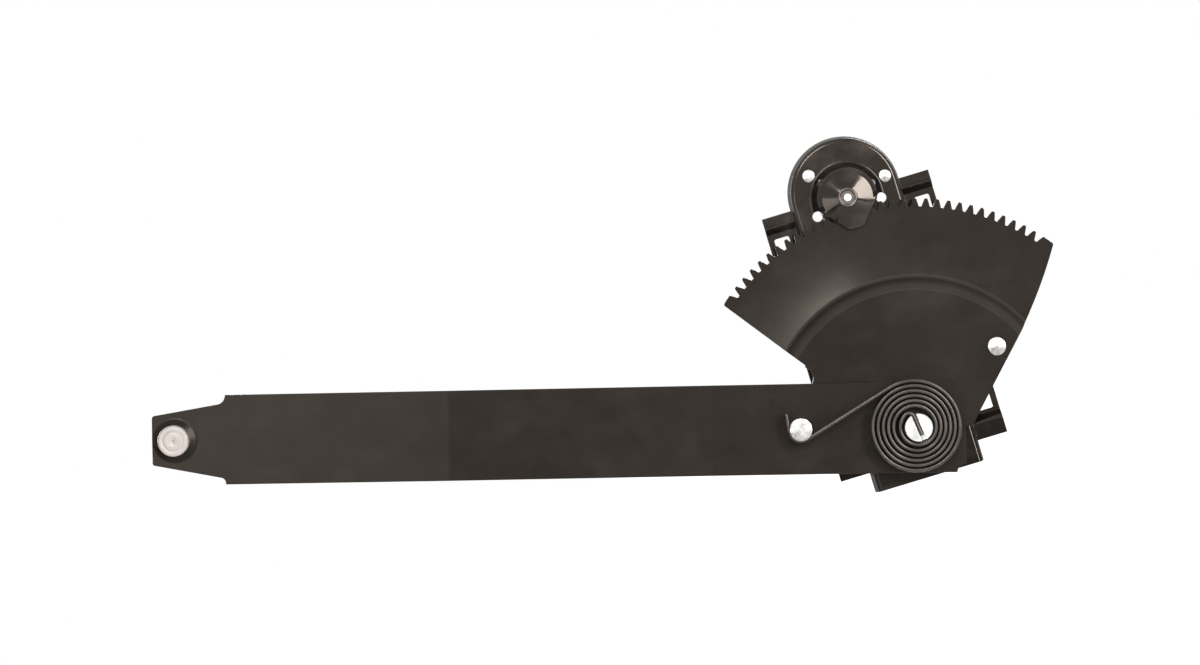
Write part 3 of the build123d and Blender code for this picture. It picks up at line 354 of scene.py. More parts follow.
    def ring(self, axis: Spindle, inner: float, outer: float) -> Socket:
        """One between two circles round an axis and zero elsewhere, easing over a millimetre.

        Args:
            axis: The circles' axis.
            inner: Radius of the inner circle, in millimetres.
            outer: Radius of the outer circle, in millimetres.

        Returns:
            The share.
        """
        reach = self.radius(axis)
        outside = self.between(reach, 0.0, 1.0, (inner - 0.5) * MM, (inner + 0.5) * MM)
        inside = self.between(reach, 1.0, 0.0, (outer - 0.5) * MM, (outer + 0.5) * MM)
        return self.arithmetic("MULTIPLY", outside, inside)


@dataclass(frozen=True)
class Finish:
    """A surface finish: a record slot with its colours and gloss."""

    name: str
    slot: str
    dark: Colour
    light: Colour
    metallic: float
    smooth: float
    dull: float
    specular: float = 0.5
    grain: Grain = Grain.NONE
    mottle: float = 60.0
    relief: float = 0.03 * MM
    tint: Colour = (1.0, 1.0, 1.0)
    flare: Flare | None = None
    walls: float | None = None
    joggle: tuple[float, float] | None = None
    dust: float = 0.0

    def colour(self, nodes: NodeTree) -> Socket:
        """Colour that drifts between dark and light with a broad noise, under its dust.

        Args:
            nodes: The material's tree.

        Returns:
            The colour.
        """
        broad = nodes.between(nodes.noise(self.mottle, 4), 0, 1)
        colour = nodes.tint(broad, (*self.dark, 1), self.light)
        return nodes.dusted(colour, self.dust) if self.dust else colour

    def roughness(self, nodes: NodeTree) -> Socket:
        """Roughness that drifts between smooth and dull, and is set apart on walls and on the joggle.

        Args:
            nodes: The material's tree.

        Returns:
            The roughness.
        """
        gloss = nodes.between(nodes.noise(self.mottle * 0.6, 3), self.smooth, self.dull)
        if self.walls is not None:
            gloss = nodes.blend(nodes.walls(self.walls), gloss, WALL_ROUGHNESS)
        if self.joggle is not None:
            gloss = nodes.blend(nodes.ring(PIVOT, *self.joggle), gloss, JOGGLE_ROUGHNESS)
        return gloss

    def normal(self, nodes: NodeTree, axis: Spindle | None) -> Socket:
        """Normal with a fine noise, and with the rings of turning or the lean of a flared face on top.

        Args:
            nodes: The material's tree.
            axis: The axis that turned marks run round.

        Returns:
            The normal.
        """
        relief = nodes.tilt(nodes.noise(GRIT_SCALE, 3), self.relief, 0.25)
        if self.grain is Grain.TURNED and axis is not None:
            relief = nodes.rings(axis, relief)
        if self.flare is not None:
            relief = nodes.flared(self.flare, relief)
        return relief

    def material(self, axis: Spindle | None = None) -> bpy.types.Material:
        """Builds the finish as a Blender material, or finds the one built before.

        Args:
            axis: The axis that turned marks run round.

        Returns:
            The material.
        """
        place = "" if axis is None else f"_{axis.x:.0f}_{axis.z:.0f}"
        name = f"{self.name}_finish{place}"
        found = bpy.data.materials.get(name)
        if found is not None:
            return found
        material = bpy.data.materials.new(name)
        material.use_nodes = True
        nodes = NodeTree(material.node_tree)
        inputs = material.node_tree.nodes["Principled BSDF"].inputs
        inputs["Metallic"].default_value = self.metallic
        inputs["Specular IOR Level"].default_value = self.specular
        inputs["Specular Tint"].default_value = (*self.tint, 1)
        nodes.feed(self.colour(nodes), inputs["Base Color"])
        nodes.feed(self.roughness(nodes), inputs["Roughness"])
        nodes.feed(self.normal(nodes, axis), inputs["Normal"])
        return material


WARM = (1.0, 0.87, 0.76)
DUST = (0.085, 0.070, 0.059)
DUST_SCALE = 42.0  # patches in one metre
DUST_STRETCH = (1, 1, 1.3)
DUST_EDGE = (0.52, 0.78)  # noise levels at which a patch begins and is full
GRIT_SCALE = 900.0  # grains in one metre
RING_PITCH = 0.45 * MM
RING_HEIGHT = 0.02 * MM
WALL_ROUGHNESS = 0.95
WALL_FACING = (0.15, 0.45)  # parts of the normal along Y at which a wall ends
JOGGLE_ROUGHNESS = 0.62
RIM = Flare(PIVOT, start=86.0, width=42.0, slope=0.145, power=2.0, fade=(-35.0, 75.0))
CONE = Flare(PINION, start=5.9, width=11.1, slope=0.11, power=1.0)
PAINT = Finish(
    name="satin_paint",
    slot="dark_paint",
    dark=(0.0110, 0.0087, 0.0070),
    light=(0.0165, 0.0131, 0.0106),
    metallic=0.0,
    smooth=0.26,
    dull=0.30,
    specular=0.17,
    tint=WARM,
    dust=0.10,
)
BAND = Finish(
    name="band_paint",
    slot="dark_paint",
    dark=(0.0105, 0.0084, 0.0068),
    light=(0.0152, 0.0122, 0.0099),
    metallic=0.0,
    smooth=0.20,
    dull=0.24,
    specular=0.22,
    relief=0.06 * MM,
    tint=WARM,
    flare=RIM,
    joggle=(81.0, 89.5),
    dust=0.12,
)
GLOSS = Finish(
    name="gloss_paint",
    slot="dark_paint",
    dark=(0.0045, 0.0036, 0.0030),
    light=(0.0110, 0.0088, 0.0074),
    metallic=0.0,
    smooth=0.07,
    dull=0.14,
    specular=0.43,
    tint=WARM,
    flare=CONE,
    walls=34.5,
    dust=0.45,
)
BRIGHT = Finish(
    name="bright_zinc",
    slot="bright_zinc",
    dark=(0.37, 0.357, 0.345),
    light=(0.63, 0.62, 0.61),
    metallic=1.0,
    smooth=0.17,
    dull=0.27,
    grain=Grain.TURNED,
    mottle=330,
)
FACED = Finish(
    name="faced_zinc",
    slot="bright_zinc",
    dark=(0.84, 0.83, 0.82),
    light=(0.94, 0.94, 0.93),
    metallic=1.0,
    smooth=0.20,
    dull=0.30,
    mottle=200,
)
DULL = Finish(
    name="dull_zinc",
    slot="dull_zinc",
    dark=(0.060, 0.047, 0.040),
    light=(0.10, 0.082, 0.072),
    metallic=0.9,
    smooth=0.20,
    dull=0.30,
    grain=Grain.TURNED,
)
ZINC = Finish(
    name="zinc_plate",
    slot="zinc_plate",
    dark=(0.46, 0.45, 0.43),
    light=(0.58, 0.57, 0.56),
    metallic=1.0,
    smooth=0.26,
    dull=0.38,
)
SPRING = Finish(
    name="spring_steel",
    slot="spring_steel",
    dark=(0.042, 0.034, 0.030),
    light=(0.078, 0.064, 0.056),
    metallic=0.55,
    smooth=0.20,
    dull=0.30,
    mottle=110,
)
# Painted shade: near-black steel for the pivot ring and washer inside the innermost coil, standing in for the
# shade that falls there.
SHADE_PAINTED_STEEL = Finish(
    name="shade_painted_steel",
    slot="spring_steel",
    dark=(0.012, 0.010, 0.009),
    light=(0.020, 0.017, 0.015),
    metallic=0.2,
    smooth=0.40,
    dull=0.55,
    specular=0.2,
)
GEAR = Finish(
    name="gear_steel",
    slot="gear_steel",
    dark=(0.10, 0.086, 0.077),
    light=(0.16, 0.142, 0.128),
    metallic=1.0,
    smooth=0.24,
    dull=0.36,
)
BRONZE = Finish(
    name="sintered_bronze",
    slot="sintered_bronze",
    dark=(0.36, 0.24, 0.12),
    light=(0.46, 0.32, 0.17),
    metallic=1.0,
    smooth=0.40,
    dull=0.55,
)
NYLON = Finish(
    name="roller_plastic",
    slot="roller_plastic",
    dark=(0.46, 0.41, 0.375),
    light=(0.52, 0.47, 0.435),
    metallic=0.0,
    smooth=0.24,
    dull=0.36,
)
# The pivot ring and washer take the near-black steel that paints the shade inside the innermost coil; the
# pivot stud and crank spindle take the faced zinc.
OTHERS = {"pivot_ring": SHADE_PAINTED_STEEL, "pivot_washer": SHADE_PAINTED_STEEL, "pivot_stud": FACED, "crank_spindle": FACED}
FINISHES = {finish.slot: finish for finish in (PAINT, BRIGHT, DULL, ZINC, SPRING, GEAR, BRONZE, NYLON)}


def direction(degrees: float | np.ndarray) -> np.ndarray:
    """Unit vectors at angles: cosine and sine, stacked on the last axis."""
    turn = np.radians(degrees)
    return np.stack((np.cos(turn), np.sin(turn)), axis=-1)


def softened(points: Sequence[tuple[float, float]], reach: float, steps: int = 4) -> np.ndarray:
    """Rounds the inner corners of an open profile.

    Each corner C gives way to the curve (1-t)^2 A + 2t(1-t) C + t^2 B, where A and B lie on its two sides,
    as far from C as reach allows, and at most at the middle of a side.

    Args:
        points: The profile's corners, two numbers each.
        reach: Distance from a corner at which its curve starts and ends.
        steps: Spans of each curve.

    Returns:
        The rounded profile, two numbers to a row.
    """
    line = np.asarray(points, float)
    corner = line[1:-1]
    ends = []
    for side in (line[:-2] - corner, line[2:] - corner):
        length = np.linalg.norm(side, axis=1, keepdims=True)
        ends.append((corner + side / length * np.minimum(reach, length / 2))[:, None])
    t = np.linspace(0, 1, steps + 1)[None, :, None]
    curves = (1 - t) ** 2 * ends[0] + 2 * t * (1 - t) * corner[:, None] + t**2 * ends[1]
    return np.vstack((line[:1], curves.reshape(-1, 2), line[-1:]))


def surface(name: str, grid: np.ndarray, crease: float = 40.0) -> bpy.types.Object:
    """Makes a mesh from a grid of points whose last column joins its first.

    Point (i, j) joins (i+1, j), (i+1, j+1) and (i, j+1) in one face. Points that fall together are merged,
    so a row drawn in to one point closes as a pole.

    Args:
        name: The new object's name.
        grid: Points in metres, rows by columns by three.
        crease: Edges sharper than this many degrees stay sharp.

    Returns:
        The object, at the origin.
    """
    rows, columns = grid.shape[:2]
    i = np.arange(rows - 1)[:, None]
    j = np.arange(columns)[None, :]
    beside = (j + 1) % columns
    corner = (i * columns + j, (i + 1) * columns + j, (i + 1) * columns + beside, i * columns + beside)
    quads = np.stack(corner, axis=-1).reshape(-1, 4)
    mesh = bpy.data.meshes.new(name)
    mesh.vertices.add(rows * columns)
    mesh.vertices.foreach_set("co", grid.reshape(-1).astype(np.float32))
    mesh.loops.add(quads.size)
    mesh.loops.foreach_set("vertex_index", quads.reshape(-1).astype(np.int32))
    mesh.polygons.add(len(quads))
    mesh.polygons.foreach_set("loop_start", np.arange(0, quads.size, 4, dtype=np.int32))
    mesh.update(calc_edges=True)
    form = bmesh.new()
    form.from_mesh(mesh)
    bmesh.ops.remove_doubles(form, verts=form.verts, dist=MERGE)
    bmesh.ops.dissolve_degenerate(form, edges=form.edges, dist=MERGE / 2)
    bmesh.ops.recalc_face_normals(form, faces=form.faces)
    form.to_mesh(mesh)
    form.free()
    return placed(name, mesh, crease)


def placed(name: str, mesh: bpy.types.Mesh, crease: float) -> bpy.types.Object:
    """Shades a mesh smooth up to a crease angle and puts it in the scene at the origin.

    Args:
        name: The new object's name.
        mesh: Its mesh.
        crease: Edges sharper than this many degrees stay sharp.

    Returns:
        The object.
    """
    mesh.polygons.foreach_set("use_smooth", np.ones(len(mesh.polygons), bool))
    mesh.set_sharp_from_angle(angle=math.radians(crease))
    mesh.update()
    piece = bpy.data.objects.new(name, mesh)
    bpy.context.scene.collection.objects.link(piece)
    return piece


def turned(name: str, axis: Spindle, profile: np.ndarray, around: int = 96) -> bpy.types.Object:
    """Turns a profile about an axis: (radius r, depth d) at angle a goes to (x + r cos a, -d, z + r sin a).

    Args:
        name: The new object's name.
        axis: The axis to turn about.
        profile: Radius and depth to a row, in millimetres, from one pole to the other.
        around: Points in a full turn.

    Returns:
        The object.
    """
    ray = direction(np.linspace(0, 360, around, endpoint=False))[None]
    flat = profile[:, :1, None] * ray + (axis.x, axis.z)
    depth = np.broadcast_to(profile[:, 1:2], (len(profile), around))
    return surface(name, np.stack((flat[..., 0], -depth, flat[..., 1]), axis=-1) * MM)


@dataclass(frozen=True)
class Sheet:
    """A pressed sheet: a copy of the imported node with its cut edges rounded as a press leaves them."""

    node: str
    body: str
    finish: Finish
    rounding: float  # millimetres from an edge
    flat_angle: float = 0.2  # faces that turn by less than this many degrees are one face
    cut_angle: float = 72.0  # a cut edge turns by more than this many degrees, and a pressed bend by less
    crease: float = 50.0
    room: float = 1.3  # free width beside an edge that its rounding needs, in roundings

    def roomy(self, form: bmesh.types.BMesh) -> list[bmesh.types.BMEdge]:
        """Finds the cut edges that have room for their rounding.

        An edge stays sharp if a very short edge, a tiny face or more than three cut edges meet at its end.

        Args:
            form: The sheet, with flat faces whole.

        Returns:
            The edges.
        """
        angle = math.radians(self.cut_angle)
        cut = {edge for edge in form.edges if len(edge.link_faces) == 2 and edge.calc_face_angle() > angle}
        room = self.room * self.rounding * MM
        tight = {
            vertex
            for edge in cut
            for vertex in edge.verts
            if any(other not in cut and other.calc_length() < room for other in vertex.link_edges)
            or sum(other in cut for other in vertex.link_edges) > 3
            or any(face.calc_area() < room * room for face in vertex.link_faces)
        }
        free = [edge for edge in cut if not tight.intersection(edge.verts)]
        LOG.info("%s: %d of %d cut edges rounded", self.node, len(free), len(cut))
        return free

    def build(self, source: bpy.types.Object) -> None:
        """Builds the rounded copy and dresses it.

        Args:
            source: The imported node.
        """
        form = bmesh.new()
        form.from_mesh(source.data)
        bmesh.ops.remove_doubles(form, verts=form.verts, dist=MERGE)
        flat = math.radians(self.flat_angle)
        bmesh.ops.dissolve_limit(form, angle_limit=flat, verts=form.verts, edges=form.edges)
        bmesh.ops.bevel(
            form,
            geom=self.roomy(form),
            offset=self.rounding * MM,
            offset_type="OFFSET",
            segments=2,
            profile=0.5,
            affect="EDGES",
            clamp_overlap=False,
        )
        name = f"{self.node}_pressed"
        mesh = bpy.data.meshes.new(name)
        form.to_mesh(mesh)
        form.free()
        piece = placed(name, mesh, self.crease)
        weighted = piece.modifiers.new("face_normals", "WEIGHTED_NORMAL")
        weighted.mode = "FACE_AREA_WITH_ANGLE"
        weighted.keep_sharp = True
        facets = piece.modifiers.new("facets", "TRIANGULATE")
        facets.min_vertices = 5
        facets.keep_custom_normals = True
        dress(piece, self.finish, self.body, (self.node,))


@dataclass(frozen=True)
class SpringSteel:
    """The counterbalance spring: a flat strip wound on edge, from the pivot stud's slot to the spring stud.

    Lengths are in millimetres, and places are taken from the pivot.
    """

    thickness: float = 2.2
    rear: float = 25.5
    front: float = 34.9
    edge_round: float = 0.95
    pitch: float = 2.9
    pitch_shift: float = 0.12
    first_gap: float = 0.44
    centre: tuple[float, float] = (-0.2, 0.55)
    growth_angle: float = -17.0
    half_turns: int = 10
    hook_radius: float = 3.4
    hook_reach: float = 6.9
    slot_angle: float = 96.2
    inner_leg: float = 11.8
    tail_length: float = 10.5
    tail_turn: float = 112.0
    wrap_radius: float = 6.8
    step: float = 0.45
    corner_points: int = 7
    end_shrink: float = 0.75  # the first and last rings are this much of the full section

    def arc(self, centre: np.ndarray, radius: float, start: float, sweep: float) -> np.ndarray:
        """Points along an arc, without its end: the centre plus the radius along even directions."""
        count = max(3, int(abs(math.radians(sweep)) * radius / self.step))
        return centre + radius * direction(start + sweep * np.arange(count) / count)

    def line(self, start: np.ndarray, end: np.ndarray) -> np.ndarray:
        """Evenly spaced points along a straight run, without its end point."""
        count = max(3, int(np.linalg.norm(end - start) / self.step))
        return start + (end - start) * (np.arange(count) / count)[:, None]

    def coils(self, centre: np.ndarray, radius: float) -> tuple[list[np.ndarray], np.ndarray, float]:
        """Half circles whose radius grows by half the pitch while their centre steps back by as much.

        Args:
            centre: Centre of the innermost coil.
            radius: Its radius.

        Returns:
            The half circles, and the centre and radius of the outermost coil.
        """
        runs = []
        start = self.growth_angle
        for half in range(self.half_turns + 1):
            growth = (self.pitch + self.pitch_shift * (-1) ** half) / 2
            growth += self.first_gap if half == 0 else 0
            centre = centre - growth * direction(start)
            radius += growth
            if half < self.half_turns:
                runs.append(self.arc(centre, radius, start, 180))
                start += 180
        return runs, centre, radius

    def path(self) -> tuple[np.ndarray, int]:
        """Middle line of the strip.

        Straight in the slot, a small hook, the innermost coil, the other coils, a straight leg, and a wrap
        round the stud.

        Returns:
            The points, and the number of the point at which the leg leaves the coils.
        """
        way = direction(self.slot_angle)
        hook = way * self.hook_reach + np.array((-way[1], way[0])) * self.hook_radius
        centre = np.array(self.centre)
        hook_exit = math.degrees(math.atan2(*(hook - centre)[::-1]))
        radius = float(np.linalg.norm(hook - centre)) + self.hook_radius
        runs = [
            self.line(way * (self.hook_reach - self.inner_leg), way * self.hook_reach),
            self.arc(hook, self.hook_radius, self.slot_angle - 90, hook_exit - self.slot_angle + 90),
            self.arc(centre, radius, hook_exit, self.growth_angle + 360 - hook_exit),
        ]
        coils, centre, radius = self.coils(centre, radius)
        runs += coils
        stud = SPRING_STUD_REACH * direction(ARM_ANGLE)
        leg = math.degrees(math.atan2(*(stud - centre)[::-1]))
        leg += math.degrees(math.asin((radius + self.wrap_radius) / np.linalg.norm(stud - centre)))
        runs.append(self.arc(centre, radius, self.growth_angle, leg - 90 - self.growth_angle))
        leaves = sum(len(run) for run in runs)
        touch = stud + self.wrap_radius * direction(leg + 90)
        tail = stud + self.wrap_radius * direction(leg + 90 - self.tail_turn)
        end = tail + self.tail_length * direction(leg - self.tail_turn)
        runs.append(self.line(centre + radius * direction(leg - 90), touch))
        runs.append(self.arc(stud, self.wrap_radius, leg + 90, -self.tail_turn))
        runs.append(self.line(tail, end))
        runs.append(end[None])
        return np.vstack(runs), leaves

    def section(self) -> np.ndarray:
        """Outline of the strip's section.

        The centres of its rounded corners are pushed out by the edge's radius along every direction.

        Returns:
            Offset across the strip and depth to a row.
        """
        quarters = np.arange(0, 360, 90)
        angles = np.concatenate([start + np.linspace(0, 90, self.corner_points) for start in quarters])
        corner = np.sign(direction(np.repeat(quarters + 45, self.corner_points)))
        half = np.array((self.thickness / 2, (self.front - self.rear) / 2))
        outline = corner * (half - self.edge_round) + self.edge_round * direction(angles)
        return outline + (0, (self.front + self.rear) / 2)

    def build(self) -> None:
        """Carries the section along the path and draws both ends in to a point; the shares of the arm's turn
        along it are worked out but not applied.
        """
        path, leaves = self.path()
        along = np.gradient(path, axis=0)
        along /= np.linalg.norm(along, axis=1, keepdims=True)
        left = np.stack((-along[:, 1], along[:, 0]), axis=1)
        section = self.section()
        middle = section.mean(axis=0)
        last = len(path) - 1
        order = np.concatenate(((0, 0), np.arange(len(path)), (last, last)))
        share = np.ones(len(order))
        share[[0, -1]] = 0.0
        share[[1, -2]] = self.end_shrink
        shape = middle + (section - middle)[None] * share[:, None, None]
        flat = path[order][:, None] + left[order][:, None] * shape[..., :1]
        grid = np.stack((flat[..., 0] + PIVOT.x, -shape[..., 1], flat[..., 1] + PIVOT.z), axis=-1) * MM
        piece = surface("clock_spring", grid)
        self.wind(piece, path, leaves)
        dress(piece, SPRING, "", ("counterbalance_spring",))

    def wind(self, piece: bpy.types.Object, path: np.ndarray, leaves: int) -> None:
        """Works out each point's share of the arm's turn, none in the slot and all of it past the coils, but
        does not apply the shares to the strip.

        The share grows evenly with the length along the path, and each point takes that of the nearest of
        every second point of the path.

        Args:
            piece: The strip's object.
            path: Its middle line.
            leaves: Number of the path's point at which the leg starts.
        """
        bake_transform(piece)
        length = np.concatenate(((0,), np.cumsum(np.linalg.norm(np.diff(path, axis=0), axis=1))))
        share = np.clip((length - self.inner_leg) / (length[leaves] - self.inner_leg), 0, 1)
        places = np.empty(len(piece.data.vertices) * 3)
        piece.data.vertices.foreach_get("co", places)
        flat = places.reshape(-1, 3)[:, (0, 2)] / MM - (PIVOT.x, PIVOT.z)
        gaps = np.linalg.norm(flat[:, None] - path[None, ::2], axis=2)
        weights = share[::2][gaps.argmin(axis=1)].astype(np.float32)


@dataclass(frozen=True)
class Rivet:
    """A rivet or stud: a dished tail, a shank through the sheets, perhaps a collar, and a crowned head.

    Every value is a radius or a depth, in millimetres.
    """

    shank: float
    tail: float
    tail_rear: float
    tail_front: float
    seat: float
    head: float
    head_rear: float
    top: float
    crown: float  # how far the face falls from its middle to its edge
    edge: float  # height of the rounded corner below the face's edge
    collar: float | None = None
    tail_taper: float = 0.5
    gap: float = 0.05  # a step between two radii rises by this much, so that its corners stay apart

    def profile(self, points: int = 8) -> list[tuple[float, float]]:
        """Outline from the tail's middle to the head's.

        The crown falls from its top with the square of the radius.

        Args:
            points: Points on the crown.

        Returns:
            Radius and depth of each point.
        """
        line = [
            (0, self.tail_rear),
            (self.tail - self.tail_taper, self.tail_rear),
            (self.tail, self.tail_front),
            (self.shank, self.tail_front + self.gap),
            (self.shank, self.seat - self.gap),
        ]
        if self.collar is not None:
            line += [(self.collar, self.seat), (self.collar, self.head_rear - self.gap)]
        line += [(self.head, self.head_rear), (self.head, self.top - self.crown - self.edge)]
        share = np.linspace(1, 0, points)
        face = np.stack((share * (self.head - self.edge), self.top - self.crown * share**2), axis=1)
        return line + [tuple(point) for point in face]


@dataclass(frozen=True)
class Turning:
    """A turned piece, ready to build."""

    name: str
    node: str
    finish: Finish
    body: str
    axis: Spindle
    profile: list[tuple[float, float]]
    corner: float  # reach of its rounded corners, in millimetres
    around: int = 96

    def build(self) -> None:
        """Turns the profile, gives the piece its finish and puts it on its body."""
        piece = turned(self.name, self.axis, softened(self.profile, self.corner), self.around)
        dress(piece, self.finish, self.body, (self.node,), self.axis)


@dataclass(frozen=True)
class Heads:
    """Rivet and stud heads, the eyelet and the roller. Lengths are in millimetres."""

    roller_reach: float = 433.9
    stop_place: tuple[float, float] = (58.5, 31.9)
    rivet_circle: float = 25.9
    rivet_angles: tuple[float, ...] = (13.5, 133.5, 253.5)
    spring_stud: Rivet = Rivet(
        shank=4.2,
        tail=5.4,
        tail_rear=15.6,
        tail_front=17.0,
        seat=23.0,
        head=6.8,
        head_rear=35.25,
        top=37.1,
        crown=0.25,
        edge=0.45,
        collar=5.4,
    )
    stop_stud: Rivet = Rivet(
        shank=3.2,
        tail=5.5,
        tail_rear=15.6,
        tail_front=17.0,
        seat=20.0,
        head=5.5,
        head_rear=20.0,
        top=22.0,
        crown=0.5,
        edge=0.4,
    )
    drum_rivet: Rivet = Rivet(
        shank=2.2,
        tail=3.3,
        tail_rear=7.0,
        tail_front=8.4,
        seat=12.0,
        head=3.9,
        head_rear=12.0,
        top=13.5,
        crown=0.25,
        edge=0.5,
    )
    tube_radii: tuple[float, float] = (3.9, 5.0)
    tube_rear: float = 18.1
    flange: float = 5.9
    flange_rear: float = 21.7
    flange_top: float = 22.5
    roller_bore: float = 4.1
    roller_chamber: float = 5.1
    roller_radius: float = 9.0
    roller_rear: float = 40.2
    roller_face: float = 50.2

    def along_arm(self, reach: float) -> Spindle:
        """Axis on the arm's middle line, at a distance from the pivot."""
        x, z = reach * direction(ARM_ANGLE)
        return Spindle(PIVOT.x + x, PIVOT.z + z)

    def round_pinion(self, angle: float) -> Spindle:
        """Axis on the rivets' circle, at an angle."""
        x, z = self.rivet_circle * direction(angle)
        return Spindle(PINION.x + x, PINION.z + z)

    def eyelet(self) -> list[tuple[float, float]]:
        """Profile of the tube that is rolled over the bridge's hole, with a rounded flange.

        Returns:
            Radius and depth of each point.
        """
        inner, outer = self.tube_radii
        return [
            (inner, self.tube_rear),
            (outer, self.tube_rear),
            (outer, self.flange_rear),
            (self.flange, self.flange_rear + 0.05),
            (self.flange, self.flange_top - 0.4),
            (self.flange - 0.45, self.flange_top),
            (inner + 0.8, self.flange_top),
            (inner + 0.5, self.flange_top - 0.2),
            (inner, self.flange_top - 0.3),
            (inner, self.tube_rear),
        ]

    def roller(self) -> list[tuple[float, float]]:
        """Profile of the moulded roller.

        It has a rounded rim, a shallow ring, a raised hub with a dimple, a chamber for the stud's head, and
        a bore.

        Returns:
            Radius and depth of each point.
        """
        face, edge = self.roller_face, self.roller_radius
        return [
            (self.roller_bore, self.roller_rear),
            (edge - 0.9, self.roller_rear),
            (edge, self.roller_rear + 1.0),
            (edge, face - 1.0),
            (edge - 0.8, face - 0.05),
            (6.5, face),
            (6.1, face - 0.2),
            (5.7, face - 0.15),
            (5.3, face + 0.3),
            (3.4, face + 0.5),
            (2.2, face + 0.35),
            (0.7, face),
            (0.5, face - 0.7),
            (0.0, face - 0.8),
            (0.0, face - 1.7),
            (self.roller_chamber, face - 1.8),
            (self.roller_chamber, face - 4.8),
            (self.roller_bore, face - 4.9),
            (self.roller_bore, self.roller_rear),
        ]

    def build(self) -> None:
        """Builds the heads, the eyelet and the roller, each on the body that carries it."""
        stud, roller = self.along_arm(SPRING_STUD_REACH), self.along_arm(self.roller_reach)
        stop = Spindle(PIVOT.x + self.stop_place[0], PIVOT.z + self.stop_place[1])
        spring_stud, stop_stud = self.spring_stud.profile(), self.stop_stud.profile()
        pieces = [
            Turning("spring_stud_turned", "spring_stud", BRIGHT, "arm", stud, spring_stud, corner=0.35),
            Turning("stop_stud_headed", "stop_stud", BRIGHT, "arm", stop, stop_stud, corner=0.35),
            Turning("eyelet_rolled", "bridge_eyelet", DULL, "base", PINION, self.eyelet(), corner=0.25),
            Turning("roller_moulded", "roller", NYLON, "roller", roller, self.roller(), corner=0.5),
        ]
        rivet = self.drum_rivet.profile()
        for number, angle in enumerate(self.rivet_angles, start=1):
            name, axis = f"drum_rivet_{number}", self.round_pinion(angle)
            pieces.append(Turning(name, "drum_rivets", BRIGHT, "base", axis, rivet, corner=0.3, around=64))
        for piece in pieces:
            piece.build()


@dataclass(frozen=True)
class Lamp:
    """A rectangular lamp that faces a point."""

    name: str
    place: tuple[float, float, float]
    size: tuple[float, float]
    watts: float
    aim: tuple[float, float, float] = (0.0, 0.0, 0.0)

    def build(self) -> None:
        """Adds the lamp."""
        data = bpy.data.lights.new(self.name, "AREA")
        data.shape = "RECTANGLE"
        data.size, data.size_y = self.size
        data.energy = self.watts
        obj = bpy.data.objects.new(self.name, data)
        ray = Vector(self.aim) - Vector(self.place)
        obj.rotation_euler = ray.to_track_quat("-Z", "Y").to_euler()
        obj.location = self.place
        bpy.context.scene.collection.objects.link(obj)


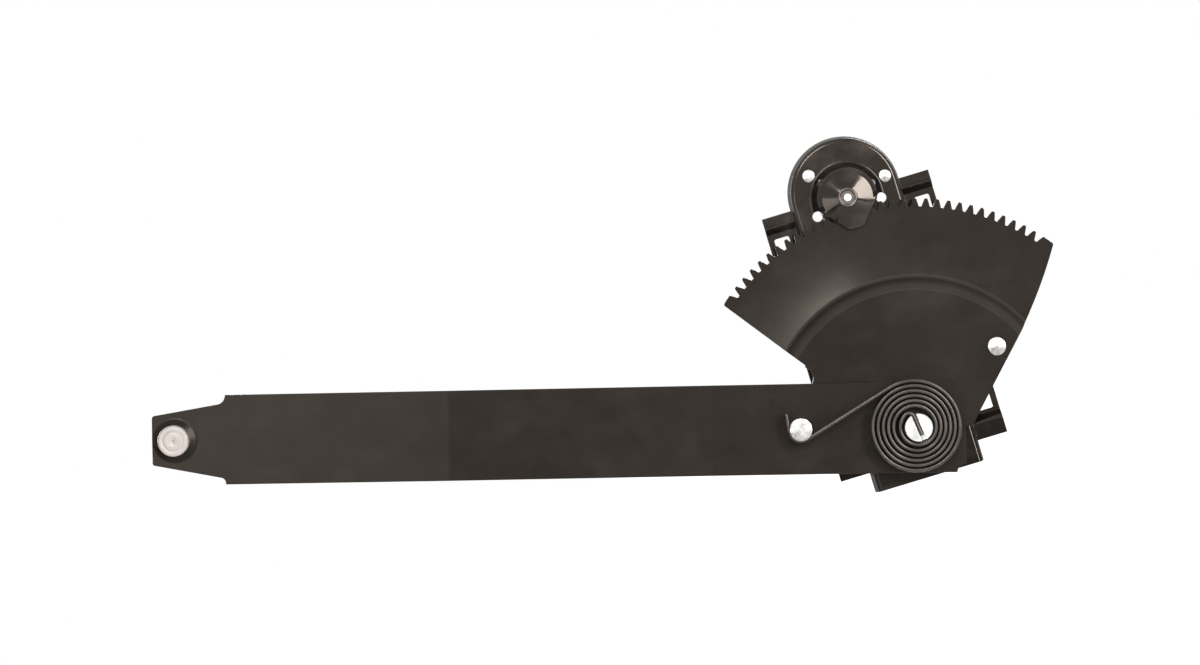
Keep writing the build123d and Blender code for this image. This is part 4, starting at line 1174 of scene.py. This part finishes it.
@dataclass(frozen=True)
class Studio:
    """Camera, lamps, floor and the white that the camera and the shiny surfaces see."""

    eye: tuple[float, float, float] = (-0.1620, -2.517, 0.0435)
    roll: float = 16.86
    frame_width: float = 0.705
    subject_distance: float = 2.5
    sensor: float = 36.0
    clip: tuple[float, float] = (0.1, 60.0)
    floor_height: float = -0.45
    floor_reach: float = 12.0
    floor_grey: float = 0.8
    soft_level: float = 0.18
    lamps: tuple[Lamp, ...] = (
        Lamp("key", (1.10, -2.08, 0.30), (0.6, 1.1), 42),
        Lamp("top", (-0.23, -2.40, 0.84), (0.7, 0.5), 19.5),
        Lamp("side", (-0.80, -2.30, 0.10), (0.9, 0.6), 6, aim=(-0.2, 0.0, 0.0)),
        Lamp("back_left", (-0.95, 2.0, 0.55), (1.0, 0.8), 42),
        Lamp("back_right", (0.90, 1.9, 0.95), (0.8, 0.8), 48),
    )

    def camera(self) -> None:
        """Adds the camera, square on to the plate and rolled about its own axis."""
        data = bpy.data.cameras.new("camera")
        data.sensor_width = self.sensor
        data.lens = self.sensor * self.subject_distance / self.frame_width
        data.clip_start, data.clip_end = self.clip
        obj = bpy.data.objects.new("camera", data)
        turn = math.radians(self.roll)
        right = Vector((math.cos(turn), 0, -math.sin(turn)))
        up = Vector((math.sin(turn), 0, math.cos(turn)))
        basis = Matrix((right, up, right.cross(up))).transposed().to_4x4()
        obj.matrix_world = Matrix.Translation(self.eye) @ basis
        bpy.context.scene.collection.objects.link(obj)
        bpy.context.scene.camera = obj

    def surroundings(self) -> None:
        """Sets the world: a soft even level for light, and plain white for camera, mirror and glass rays."""
        world = bpy.data.worlds.new("studio")
        bpy.context.scene.world = world
        world.use_nodes = True
        nodes = NodeTree(world.node_tree)
        soft = world.node_tree.nodes["Background"]
        soft.inputs["Color"].default_value = (1, 1, 1, 1)
        soft.inputs["Strength"].default_value = self.soft_level
        path = nodes.add("ShaderNodeLightPath")
        seen = path.outputs["Is Camera Ray"]
        for ray in ("Is Glossy Ray", "Is Transmission Ray"):
            seen = nodes.arithmetic("MAXIMUM", seen, path.outputs[ray])
        white = nodes.add("ShaderNodeBackground")
        white.inputs["Color"].default_value = (1, 1, 1, 1)
        mix = nodes.add("ShaderNodeMixShader")
        nodes.feed(seen, mix.inputs["Fac"])
        nodes.feed(soft.outputs[0], mix.inputs[1])
        nodes.feed(white.outputs[0], mix.inputs[2])
        nodes.feed(mix.outputs[0], world.node_tree.nodes["World Output"].inputs["Surface"])

    def floor(self) -> None:
        """Lays a pale floor below the object: it glows white for the camera, over its own grey."""
        far, height = self.floor_reach, self.floor_height
        mesh = bpy.data.meshes.new("floor")
        rim = [(-far, -far, height), (far, -far, height), (far, far, height), (-far, far, height)]
        mesh.from_pydata(rim, [], [(0, 1, 2, 3)])
        obj = bpy.data.objects.new("floor", mesh)
        bpy.context.scene.collection.objects.link(obj)
        material = bpy.data.materials.new("pale_floor")
        material.use_nodes = True
        nodes = NodeTree(material.node_tree)
        shader = material.node_tree.nodes["Principled BSDF"]
        shader.inputs["Base Color"].default_value = (self.floor_grey, self.floor_grey, self.floor_grey, 1)
        shader.inputs["Roughness"].default_value = 0.9
        glow = nodes.add("ShaderNodeEmission")
        nodes.feed(nodes.add("ShaderNodeLightPath").outputs["Is Camera Ray"], glow.inputs["Strength"])
        both = nodes.add("ShaderNodeAddShader")
        nodes.feed(shader.outputs[0], both.inputs[0])
        nodes.feed(glow.outputs[0], both.inputs[1])
        nodes.feed(both.outputs[0], material.node_tree.nodes["Material Output"].inputs["Surface"])
        mesh.materials.append(material)

    def build(self) -> None:
        """Builds the whole studio."""
        bpy.context.scene.view_settings.view_transform = "Standard"
        self.camera()
        for lamp in self.lamps:
            lamp.build()
        self.surroundings()
        self.floor()


def dress(
    piece: bpy.types.Object,
    finish: Finish,
    body: str,
    stands_for: Sequence[str],
    axis: Spindle | None = None,
) -> None:
    """Gives a new piece its finish, its body and the nodes that it replaces.

    Args:
        piece: The new piece.
        finish: Its finish.
        body: The body it rides on, or an empty string for one that is left off every body.
        stands_for: Nodes that it replaces.
        axis: The axis that turned marks run round.
    """
    piece.data.materials.clear()
    piece.data.materials.append(finish.material(axis))
    if body:
        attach(piece, body)
    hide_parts(*stands_for)
    LOG.info("%s: %d faces for %s", piece.name, len(piece.data.polygons), ", ".join(stands_for))


def main() -> None:
    """Loads the frame, dresses it and builds the studio."""
    logging.basicConfig(level=logging.INFO, format="%(name)s: %(message)s")
    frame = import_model()
    slots = {entry["node"]: entry["material_slot"] for entry in frame["record"]["subparts"]}
    for node, obj in frame["nodes"].items():
        obj.data.materials.clear()
        obj.data.materials.append(OTHERS.get(node, FINISHES[slots[node]]).material())
    SpringSteel().build()
    Heads().build()
    for sheet in (
        Sheet("base_plate", "base", GLOSS, rounding=0.3),
        Sheet("sector_gear", "arm", BAND, rounding=0.3),
        Sheet("lift_arm", "arm", PAINT, rounding=0.4),
    ):
        sheet.build(frame["nodes"][sheet.node])
    Studio().build()


if __name__ == "__main__":
    main()
